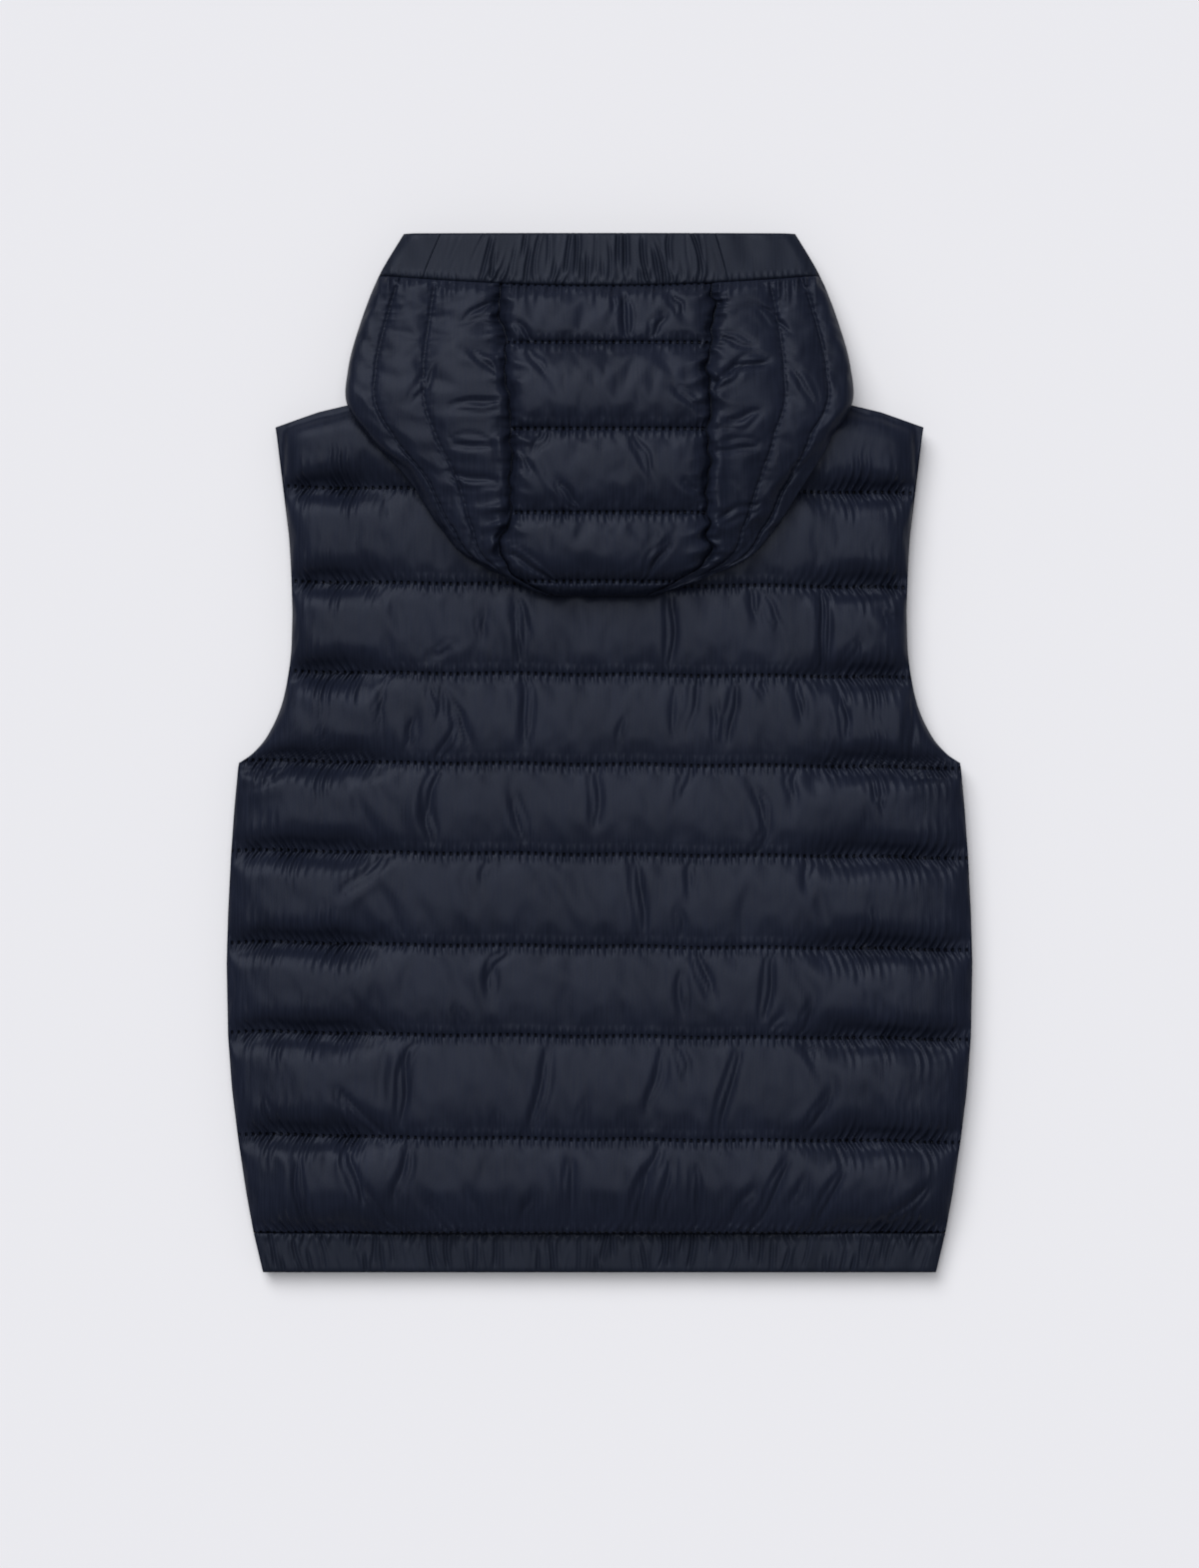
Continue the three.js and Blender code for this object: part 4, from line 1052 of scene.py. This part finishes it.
def make_crown():
    """Makes the crown and returns the lines that it is sewn along, from the bottom up."""
    heights = line_rows(CROWN_LINES, CROWN_ROWS)
    piece, across, along = new_sheet("hood_crown", CROWN_COLUMNS, len(heights) - 1)
    row = np.rint(along * (len(heights) - 1)).astype(int)
    y = heights[row]
    left, right = crown_seam(y, -1) - SEAM_GAP / 2, crown_seam(y, 1) - SEAM_GAP / 2
    x = mix(-left, right, across)
    to_seam = np.minimum(across, 1 - across) * (left + right)
    shape = puff_shape(through_puff(CROWN_LINES, y)) * edge_shape(to_seam, 10)
    z = hood_level(x, y) + GAP + HOOD_STITCH - 1.2 * (1 - edge_shape(to_seam, 4))
    z += 0.75 * CROWN_PUFF * shape * ramp(0.4 + (y - HOOD_BOTTOM) / 20)
    on_lines = np.concatenate([[0], np.cumsum(CROWN_ROWS)])
    pinned = np.isin(row, on_lines) | at_ends(across)
    to_line = np.min([np.abs(y - line) for line in CROWN_LINES[1:]], axis=0)
    let_out = 0.35 * bell(to_line, 6) + 0.75 * bell(to_seam, 8)
    folds = hood_troughs(CROWN_FOLDS, x, y)
    points = blow_up_panel(piece, x, y, z, shape, folds, pinned, let_out, 5)
    x, y = read_cloth(piece)
    finish_panel(piece, "hood_crown", detail_crown(piece, x, y), x, y)
    return [points[row == index] for index in on_lines]


crown_lines = make_crown()

# %% [markdown]
# ## Sides of the hood
# Each side panel is quilted lengthwise, and its lines run together towards the nape. The outer
# puff rolls over the edge of the folded layers and out of sight.

# %% Detail of the sides
LEFT_FOLDS = [
    (-81, 195, -55, 197, 1.0), (-82, 174, -63, 173, 0.8), (-83, 156, -59, 152, 0.8),
    (-70, 225, -58, 216, 0.7), (-94, 216, -104, 200, 0.5), (-62, 255, -74, 246, 0.6),
]
RIGHT_FOLDS = [
    (65, 206, 78, 218, 1.2), (78, 218, 93, 220, 1.1), (72, 185, 88, 191, 0.9), (65, 171, 88, 173, 0.8),
    (67, 131, 88, 139, 0.8), (70, 236, 84, 230, 0.7), (92, 252, 104, 240, 0.6), (110, 214, 120, 198, 0.5),
]
BULGE, BULGE_FROM_SEAM, BULGE_WIDTH = 1.6, 5, 4.5
SIDE_EASE, BAND_EASE = 12.5, 5.5
SIDE_PINCH, SIDE_PINCH_WIDTH = 1.8, 3.2


def detail_side(piece, x, y, side, side_folds, seed):
    """The puckers, seam bulge, grooves and pinched folds of a side, as moved points."""
    points = read_points(piece.data) / MM
    width = side_half(y, side) - crown_seam(y, side)
    from_seam = np.abs(x) - crown_seam(y, side)
    ends = ramp(HOOD_SEAM - y, 16) * ramp(y - HOOD_BOTTOM - 10, 16)
    wide = ramp(width, 20)
    uneven = np.clip(0.6 + 0.6 * wander(y, 0 * y, 12, seed + 9), 0, 1.4)
    points[:, 2] += BULGE * (bell(from_seam - BULGE_FROM_SEAM, BULGE_WIDTH) * uneven) * ends
    points[:, 2] += puckers(y, from_seam, 0.9 * wide, seed + 1)
    points[:, 2] += puckers(y, from_seam, 1.4 * ends, seed + 3, -0.5, 11.0, SIDE_EASE)
    points[:, 2] += puckers(x, HOOD_SEAM - y, 0.9 * wide, seed + 2, reach=7.0, pitch=BAND_EASE)
    points[:, 2] -= seam_valley(y, from_seam, seed) * wide
    nearest = np.full(len(x), FAR)
    room = ramp(width - 12, 20)
    for number, line in enumerate(SIDE_LINES[1:3]):
        away = from_seam - line * width
        nearest = np.where(width > 16, nearer(nearest, away), nearest)
        points[:, 2] += puckers(y, away, 0.25 * room, seed + 4 + 5 * number, reach=4.0)
        points[:, 2] -= 0.8 * bell(away, 1.0) * room
    points[:, 2] -= SIDE_PINCH * pinches(side_folds, x, y, SIDE_PINCH_WIDTH)
    points[:, 0] += seam_waver(y, side, from_seam)
    mark_seam(piece, y, np.abs(nearest) + SIDE_HOLES_HIDDEN)
    return points


print(len(LEFT_FOLDS) + len(RIGHT_FOLDS), "folds on the sides")

# %% [markdown]
# ## The sides as a whole
# One function makes both sides. A share counts the way out from the crown's seam, so the same
# lines fan out where the hood is wide and close up towards the nape.

# %% Sides
SIDE_ROWS, SIDE_COLUMNS = (74,), (17, 12, 9)


def make_side(name, side, side_folds, seed):
    """Makes a side and returns the lines that it is sewn along, from the crown's seam outwards."""
    shares = line_rows(SIDE_LINES, SIDE_COLUMNS)
    heights = line_rows([HOOD_BOTTOM, HOOD_SEAM - JOIN_GAP], SIDE_ROWS)
    piece, across, along = new_sheet(name, len(shares) - 1, len(heights) - 1)
    column = np.rint((across if side > 0 else 1 - across) * (len(shares) - 1)).astype(int)
    row = np.rint(along * (len(heights) - 1)).astype(int)
    share, y = shares[column], heights[row]
    x = side_place(y, share, side)
    ends = edge_shape(HOOD_SEAM - y, 10) * edge_shape(y - HOOD_BOTTOM, 30)
    width = side_half(y, side) - crown_seam(y, side)
    rim = edge_shape(share * width, 8) * edge_shape((1 - share) * width, 8)
    shape = mix(1, puff_shape(through_puff(SIDE_LINES, share)), 0.5) * ends * rim
    z = hood_level(x, y) + GAP + mix(HOOD_STITCH, 2.2, share ** 4) + 0.6 * SIDE_PUFF * shape
    on_lines = np.concatenate([[0], np.cumsum(SIDE_COLUMNS)])
    pinned = np.isin(column, on_lines) | np.isin(row, (0, len(heights) - 1))
    let_out = 0.8 * bell(share * width, 10)
    for line in SIDE_LINES[1:3]:
        let_out = let_out + 0.35 * bell((share - line) * width, 5)
    folds = hood_troughs(side_folds, x, y)
    points = blow_up_panel(piece, x, y, z, shape, folds, pinned, let_out, seed)
    x, y = read_cloth(piece)
    finish_panel(piece, name, detail_side(piece, x, y, side, side_folds, seed), x, y)
    return [points[column == index] for index in on_lines]


side_lines = [make_side("hood_side_left", -1, LEFT_FOLDS, 70),
              make_side("hood_side_right", 1, RIGHT_FOLDS, 80)]

# %% [markdown]
# ## The elastic bands
# A band of the same cloth, folded over elastic, holds the hem and the mouth of the hood. The
# elastic draws it up into dozens of narrow creases. A repeating wave would look too even, so each
# crease is drawn on its own, with its own place, lean, bow, length and strength.

# %% Creases of a band
HEM_GATHERS, HOOD_GATHERS = 74, 40
HEM_GATHER_HALF = 193
GATHER_HEIGHT = 0.85
BAND_HOLES_HIDDEN = 1.5
PLAIN_LEFT = 76


def gathers(x, up, start, length, count, seed):
    """Height of the creases of a band; up runs from 0 at its edge to 1 at its seam."""
    draw = np.random.default_rng(seed)
    total = 0.25 * wander(x, up * 6, 7, seed)
    pitch = length / count
    for number in range(count):
        middle = start + (number + 0.5 + draw.uniform(-0.3, 0.3)) * pitch
        strength = 1.15 * draw.uniform(0.3, 1.0) ** 2
        lean, bow = draw.normal(0, 2.0), draw.normal(0, 1.1)
        from_seam = draw.uniform() < 0.6
        long = draw.uniform(0.2, 1.1)
        distance = (1 - up) if from_seam else up
        fade = bell(ramp(distance - long * 0.7), 0.16)
        side = x - middle - lean * (up - 0.5) - bow * (1 - (2 * up - 1) ** 2)
        ridge = 0.55 * bell(side - 1.8, 1.1) + 0.35 * bell(side + 1.9, 1.2)
        total = total - strength * fade * (1.15 * bell(side, 0.85) - ridge)
    return total


print("a crease about every", round(2 * HEM_GATHER_HALF / HEM_GATHERS, 1), "mm along the hem")

# %% [markdown]
# ## The band at the hem
# The hem band hangs on the last quilt line. Its creases are deepest in its middle, and they die
# away where the band rolls under at its edge and where it is sewn on.

# %% Hem band
def make_hem_band():
    piece, across, along = new_sheet("hem_band_back", 760, 16)
    along = crowd(along)
    y = mix(HEM_EDGE, HEM_SEAM - GAP, along)
    u = across * 2 - 1
    x = u * half_width(y)
    base = front_top(y) + GAP
    fall = edge_shape(from_side(x, y) + 1, 8)
    ends = edge_shape((y - HEM_EDGE) + 0.3, 3.0) * edge_shape(HEM_SEAM - y, 2.5)
    creases = gathers(u * HEM_GATHER_HALF, along, -HEM_GATHER_HALF, 2 * HEM_GATHER_HALF, HEM_GATHERS, 90)
    z = base + 1.0 + fall * (0.9 + 1.4 * ends)
    z += GATHER_HEIGHT * fall * (0.35 + 0.65 * ends) * creases
    z += fall * puckers(np.abs(x), HEM_SEAM - y, 0.5, 95, 0.5, 4.5, 5.2)
    mark_cloth(piece, x, y)
    mark_seam(piece, x, HEM_SEAM - y + BAND_HOLES_HIDDEN)
    set_points(piece, np.stack([x, y, np.maximum(z, base + 0.5)], axis=1))
    close_flat(piece, lambda py: front_top(py) + GAP + 0.05)
    finish_piece(piece, band_taffeta, "band_taffeta", "hem_band_back")


make_hem_band()

# %% [markdown]
# ## The band at the hood's mouth
# This band is sewn from three lengths. The middle one is gathered, apart from a stretch at its left
# end, and the two short ends are plain. The joins are seams in the band, at a place that is a share
# of the way out over each side of the hood.

# %% Mouth band
def make_mouth_band(name, from_share, to_share, columns, creases, seed):
    piece, across, along = new_sheet(name, columns, 18)
    along = crowd(along)
    y = mix(HOOD_SEAM + JOIN_GAP, HOOD_MOUTH, along)
    x = mix(from_share(y) + JOIN_GAP, to_share(y) - JOIN_GAP, across)
    ends = edge_shape((HOOD_MOUTH - y) + 0.3, 4) * edge_shape(y - HOOD_SEAM, 2.5)
    base = hood_level(x, y) + GAP
    z = base + 1.0 + 0.7 + 1.4 * ends
    if creases:
        length = float(np.ptp(x))
        run = across * length
        drawn_up = np.clip((x + PLAIN_LEFT) / 15, 0.15, 1)
        fade = drawn_up * ramp(np.minimum(across, 1 - across) * 12) * (0.35 + 0.65 * ends)
        z += fade * puckers(run, y - HOOD_SEAM, 0.6, seed + 5, 0.5, 5.0, 5.2)
        z += GATHER_HEIGHT * fade * gathers(run, 1 - along, 0, length, creases, seed)
    else:
        z += 0.3 * wander(x, y, 10, seed) * ends
    mark_cloth(piece, x, y)
    mark_seam(piece, x, y - HOOD_SEAM + BAND_HOLES_HIDDEN)
    set_points(piece, np.stack([x, bowed(x, y), np.maximum(z, base + 0.6)], axis=1))
    close_on_hood(piece)
    finish_piece(piece, band_taffeta, "band_taffeta", name)


def left_join(y):
    return side_place(y, BAND_JOIN_LEFT, -1)


def right_join(y):
    return side_place(y, BAND_JOIN_RIGHT, 1)


make_mouth_band("hood_band", left_join, right_join,
                360, HOOD_GATHERS, 100)
make_mouth_band("hood_band_end_left", lambda y: side_place(y, 1, -1), left_join,
                30, 0, 110)
make_mouth_band("hood_band_end_right", right_join, lambda y: side_place(y, 1, 1),
                50, 0, 114)

# %% [markdown]
# ## The fronts
# The two fronts lie under the back, so only their edges show. Their outer side rests on the
# surface and is pressed flat there, with the quilt lines as shallow grooves. It rounds up at the
# side seam, at the shoulder and neck, and beside the zip, which it covers.

# %% Shape of the fronts
ZIP_EDGE, ZIP_COVER = 9.1, 4.9
ZIP_LIFT, ZIP_ROUND = 2.6, 7.0
SIDE_LIFT, SIDE_ROUND = 8.5, 14.0
GROOVE, GROOVE_WIDTH = 1.6, 2.2
NECK_START, STRAIGHT_SHARE = 120.1, 0.82


def front_spot(across, along):
    """Place of a point of a front: across from the zip to the side, along from hem to top."""
    y = mix(HEM_SEAM, NECK_START, ramp(along, STRAIGHT_SHARE))
    over = ramp(along - STRAIGHT_SHARE, 1 - STRAIGHT_SHARE)
    x = mix(ZIP_EDGE, half_width(y), across)
    tip_x = mix(ZIP_EDGE, SHOULDER_TIP, across)
    tip_y = np.interp(tip_x, TOP_X, TOP_FRONT)
    return mix(x, tip_x, over), mix(y, tip_y, over)


def under_height(x, to_side, to_top):
    """Height of the outer side of a front, which rests flat and rounds up at its edges."""
    side = SIDE_LIFT * (1 - edge_shape(to_side, SIDE_ROUND))
    top = SIDE_LIFT * (1 - edge_shape(to_top, SIDE_ROUND))
    beside_zip = ZIP_LIFT * (1 - edge_shape(x - ZIP_EDGE, ZIP_ROUND))
    return np.maximum(np.maximum(side, top), beside_zip)


def cover_zip(piece, side):
    """Runs the inner edge of a front on over the zip, as its facing does."""
    bm = bmesh.new()
    bm.from_mesh(piece.data)
    reach = (ZIP_EDGE + 0.01) * MM
    inner = [edge for edge in open_edges_of(bm.edges) if all(abs(v.co.x) < reach for v in edge.verts)]
    for x in (side * (ZIP_EDGE - 0.1) * MM, side * GAP / 2 * MM):
        made = bmesh.ops.extrude_edge_only(bm, edges=inner)["geom"]
        for vert in points_of(made):
            vert.co.x = x
            vert.co.z = ZIP_COVER * MM
        inner = [edge for edge in open_edges_of(made) if all(abs(v.co.x - x) < 1e-6 for v in edge.verts)]
    bm.to_mesh(piece.data)
    bm.free()


def finish_front(piece, name, side, x, y, z, material, slot, fill=None):
    """Closes a front or its band, which lie between the surface and the back, and finishes it."""
    mark_cloth(piece, x, y)
    set_points(piece, np.stack([side * x, y, np.clip(z, 0, front_top(y) - 2)], axis=1))
    cover_zip(piece, side)
    close_flat(piece, front_top)
    finish_piece(piece, material, slot, name, fill=fill)


print("zip covered up to", ZIP_EDGE, "mm from the middle")

# %% [markdown]
# ## The fronts and their bands
# The padded front is one grid whose rows close up in its top part, where the neckline curves away.
# Its band is cut and gathered as the back's, but pressed flat, so its creases are shallow.

# %% Fronts and their bands
FRONT_GATHERS, FRONT_BAND_LENGTH = 30, 180


def make_front(name, side, seed):
    piece, across, along = new_sheet(name, 84, 190)
    across = crowd(across if side > 0 else 1 - across)
    x, y = front_spot(across, along)
    to_side = half_width(y) - x
    top_y = np.interp(np.minimum(x, SHOULDER_TIP), TOP_X, TOP_FRONT)
    z = under_height(x, to_side, top_y - y)
    for number, line in enumerate(QUILT_LINES[:-1]):
        away = y - line
        z += GROOVE * bell(away, GROOVE_WIDTH) * ramp(to_side, 12)
        z += np.abs(puckers(x, away, 0.4, seed + number))
    z += 0.12 * np.maximum(wander(x, y, 10, seed + 20), 0)
    finish_front(piece, name, side, x, y, z, taffeta, "taffeta", 0.4)


def make_front_band(name, side, seed):
    piece, across, along = new_sheet(name, 300, 14)
    across = across if side > 0 else 1 - across
    along = crowd(along)
    y = mix(HEM_EDGE, HEM_SEAM - GAP, along)
    x = mix(ZIP_EDGE, half_width(y), across)
    z = under_height(x, half_width(y) - x, FAR)
    creases = gathers(x, along, ZIP_EDGE, FRONT_BAND_LENGTH, FRONT_GATHERS, seed)
    z += 0.45 * (1 - creases) * ramp(x - ZIP_EDGE, 6)
    z += 1.2 * (1 - edge_shape(y - HEM_EDGE, 3))
    finish_front(piece, name, side, x, y, z, band_taffeta, "band_taffeta")


make_front("front_left", -1, 120)
make_front("front_right", 1, 140)
make_front_band("hem_band_front_left", -1, 160)
make_front_band("hem_band_front_right", 1, 164)

# %% [markdown]
# ## The hidden folds of the hood
# Under its outer panels the hood's cloth is folded over itself. Only the edge of that stack shows,
# so its solid from the frame is enough as a base: a merged copy of it is rounded by two levels of
# subdivision, which turns its layered rim into three soft folds.

# %% Folded layers
def soften(name):
    """A merged and rounded copy of a CAD node, in its place."""
    bm = bmesh.new()
    bm.from_mesh(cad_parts[name].data)
    bmesh.ops.remove_doubles(bm, verts=bm.verts, dist=0.01 * MM)
    bmesh.ops.join_triangles(bm, faces=bm.faces, angle_face_threshold=0.5, angle_shape_threshold=0.9)
    piece = to_piece(bm, name + "_cloth")
    refine(piece, levels=2)
    points = read_points(piece.data) / MM
    mark_cloth(piece, points[:, 0], points[:, 1] + points[:, 2])
    finish_piece(piece, taffeta, "taffeta", name, fill=0.2)


soften("hood_under")
soften("hood_chin")

# %% [markdown]
# ## The zip
# The zip lies between the fronts, on the hidden side. Its tapes are one strip with a cord along
# each row of teeth. The teeth are moulded plastic, made as one mesh of small bevelled blocks, set
# left and right in turn. The slider is cast zinc with paint, a plate that is extruded downwards.

# %% Zip
TAPE_HALF, TAPE_LOW, TAPE_HIGH = 8.7, 3.6, 4.6
CORD_FROM_MIDDLE, CORD_WIDTH = 3.6, 0.7
ZIP_TOP, ZIP_BOTTOM = 133.0, -293.1
TEETH_LOW, TOOTH_PITCH, TOOTH_WIDTH, TOOTH_LENGTH = 2.0, 1.5, 3.8, 1.15
SLIDER_BOTTOM = 118
SLIDER_PLAN = [(-3, 0), (3, 0), (4.5, 7.8), (3, 13), (-3, 13), (-4.5, 7.8)]


def make_tape():
    piece, across, along = new_sheet("front_zip_tape", 28, 210)
    x = (across * 2 - 1) * TAPE_HALF
    y = mix(ZIP_BOTTOM, ZIP_TOP, along)
    z = TAPE_LOW - 0.5 * bell(np.abs(x) - CORD_FROM_MIDDLE, CORD_WIDTH) + 0.25 * bell(x, 0.5)
    mark_cloth(piece, x, y)
    set_points(piece, np.stack([x, y, z], axis=1))
    close_flat(piece, lambda py: TAPE_HIGH)
    finish_piece(piece, zip_cloth, "zip_tape", "front_zip")


def make_teeth():
    bm = bmesh.new()
    count = int((ZIP_TOP - ZIP_BOTTOM - 4) / TOOTH_PITCH)
    height = TAPE_LOW - TEETH_LOW
    size = Matrix.Diagonal((TOOTH_WIDTH * MM, TOOTH_LENGTH * MM, height * MM, 1))
    for number in range(count):
        x = 0.9 if number % 2 else -0.9
        spot = Vector((x, ZIP_BOTTOM + 2 + number * TOOTH_PITCH, TEETH_LOW + height / 2 + 0.1)) * MM
        bmesh.ops.create_cube(bm, size=1, matrix=Matrix.Translation(spot) @ size)
    bmesh.ops.bevel(bm, geom=bm.edges[:], offset=0.2 * MM, segments=1, affect="EDGES", profile=0.5,
                    material=-1)
    teeth = to_piece(bm, "zip_teeth")
    teeth.data.materials.append(moulded_teeth)
    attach(teeth, "root")
    print("zip_teeth has", count, "teeth")


def make_slider():
    bm = bmesh.new()
    corners = [bm.verts.new(Vector((x, SLIDER_BOTTOM + y, 1.7)) * MM) for x, y in SLIDER_PLAN]
    plate = bm.faces.new(corners)
    body = bmesh.ops.extrude_face_region(bm, geom=[plate])["geom"]
    for vert in points_of(body):
        vert.co.z = 0.3 * MM
    bmesh.ops.recalc_face_normals(bm, faces=bm.faces)
    bmesh.ops.bevel(bm, geom=bm.edges[:], offset=0.45 * MM, segments=3, affect="EDGES", profile=0.5,
                    material=-1)
    finish_piece(to_piece(bm, "slider"), painted_zinc, "slider_metal", "zip_slider")


make_tape()
make_teeth()
make_slider()

# %% [markdown]
# ## The stitches
# A lockstitch shows as a row of short threads that sink into the cloth. Each thread is a low
# sphere of 24 faces, stretched along its line, and the rows of one panel are joined to one mesh.

# %% Stitches
STITCH_LENGTH, STITCH_THICK = 2.9, 0.42
SIDE_SEWN_FROM = 125


def make_stitch():
    mesh = bpy.data.meshes.new("stitch")
    bm = bmesh.new()
    size = Matrix.Diagonal((STITCH_LENGTH / 2 * MM, STITCH_THICK / 2 * MM, STITCH_THICK / 2 * MM, 1))
    bmesh.ops.create_uvsphere(bm, u_segments=6, v_segments=4, radius=1, matrix=size)
    bm.to_mesh(mesh)
    bm.free()
    return mesh


def lay_stitches(path, axis, lift, stitch):
    """One stitch for each pitch along an axis of a path of points, turned to lie along it."""
    path = path[np.argsort(path[:, axis])]
    run = path[:, axis]
    first = math.ceil(run[0] / STITCH_PITCH)
    marks = np.arange(first + 0.5, run[-1] / STITCH_PITCH - 0.5) * STITCH_PITCH
    spots = [np.stack([np.interp(marks + shift, run, path[:, i]) for i in range(3)], axis=1)
             for shift in (-1, 0, 1)]
    for before, spot, after in zip(*spots):
        one = bpy.data.objects.new("stitch", stitch)
        turn = Vector(after - before).to_track_quat("X", "Z").to_matrix().to_4x4()
        one.matrix_world = Matrix.Translation((Vector(spot) + Vector((0, 0, lift))) * MM) @ turn
        yield one


def sew(name, paths, axis, lift):
    """Joins the stitches along some paths to one piece."""
    stitch = make_stitch()
    piece = bpy.data.objects.new(name, bpy.data.meshes.new(name))
    rows = [piece]
    for path in paths:
        rows.extend(lay_stitches(path, axis, lift, stitch))
    for one in rows:
        bpy.context.scene.collection.objects.link(one)
    bpy.context.view_layer.update()
    with bpy.context.temp_override(active_object=piece, selected_editable_objects=rows):
        bpy.ops.object.join()
    finish_piece(piece, thread, "taffeta")
    print(name, "has", len(rows) - 1, "stitches")


sew("back_stitches", back_lines, 0, -0.35)
sew("crown_stitches", crown_lines[2:5], 0, -0.3)
side_paths = [line[line[:, 1] > SIDE_SEWN_FROM] for lines in side_lines for line in lines[1:3]]
sew("side_stitches", side_paths, 1, -0.6)

# %% [markdown]
# ## Floor and light
# The ground is matt white paper. A large softbox stands beyond the hood, a little to the left, so
# the shadow falls softly below the hem and to the right. A second light overhead gives the flat
# middle of each puff its sheen, and a dim white surround fills the rest.

# %% Floor and light
FLOOR_HALF = 4
FLOOR_DROP = 0.2


def add_sun(name, strength, spread, towards):
    data = bpy.data.lights.new(name, "SUN")
    data.energy = strength
    data.angle = math.radians(spread)
    lamp = bpy.data.objects.new(name, data)
    lamp.rotation_euler = Vector(towards).to_track_quat("-Z", "Y").to_euler()
    bpy.context.scene.collection.objects.link(lamp)


bm = bmesh.new()
bmesh.ops.create_grid(bm, x_segments=1, y_segments=1, size=FLOOR_HALF)
bmesh.ops.translate(bm, verts=bm.verts, vec=(0, 0, -FLOOR_DROP * MM))
floor = to_piece(bm, "floor")
paper, paper_shader = new_material("matt paper", 0.5)
paper_shader.inputs["Base Color"].default_value = linear("#E8E8EC")
paper_shader.inputs["Roughness"].default_value = 0.9
floor.data.materials.append(paper)

add_sun("softbox from the top", 2.1, 42, (0.38, -0.85, -1))
add_sun("softbox overhead", 1.0, 35, (0.02, -0.1, -1))
world = bpy.data.worlds.new("world")
bpy.context.scene.world = world
world.use_nodes = True
surround = world.node_tree.nodes["Background"]
surround.inputs["Color"].default_value = (0.97, 0.97, 1, 1)
surround.inputs["Strength"].default_value = 0.22
bpy.context.scene.view_settings.view_transform = "Standard"
print(len(bpy.data.lights), "lights")
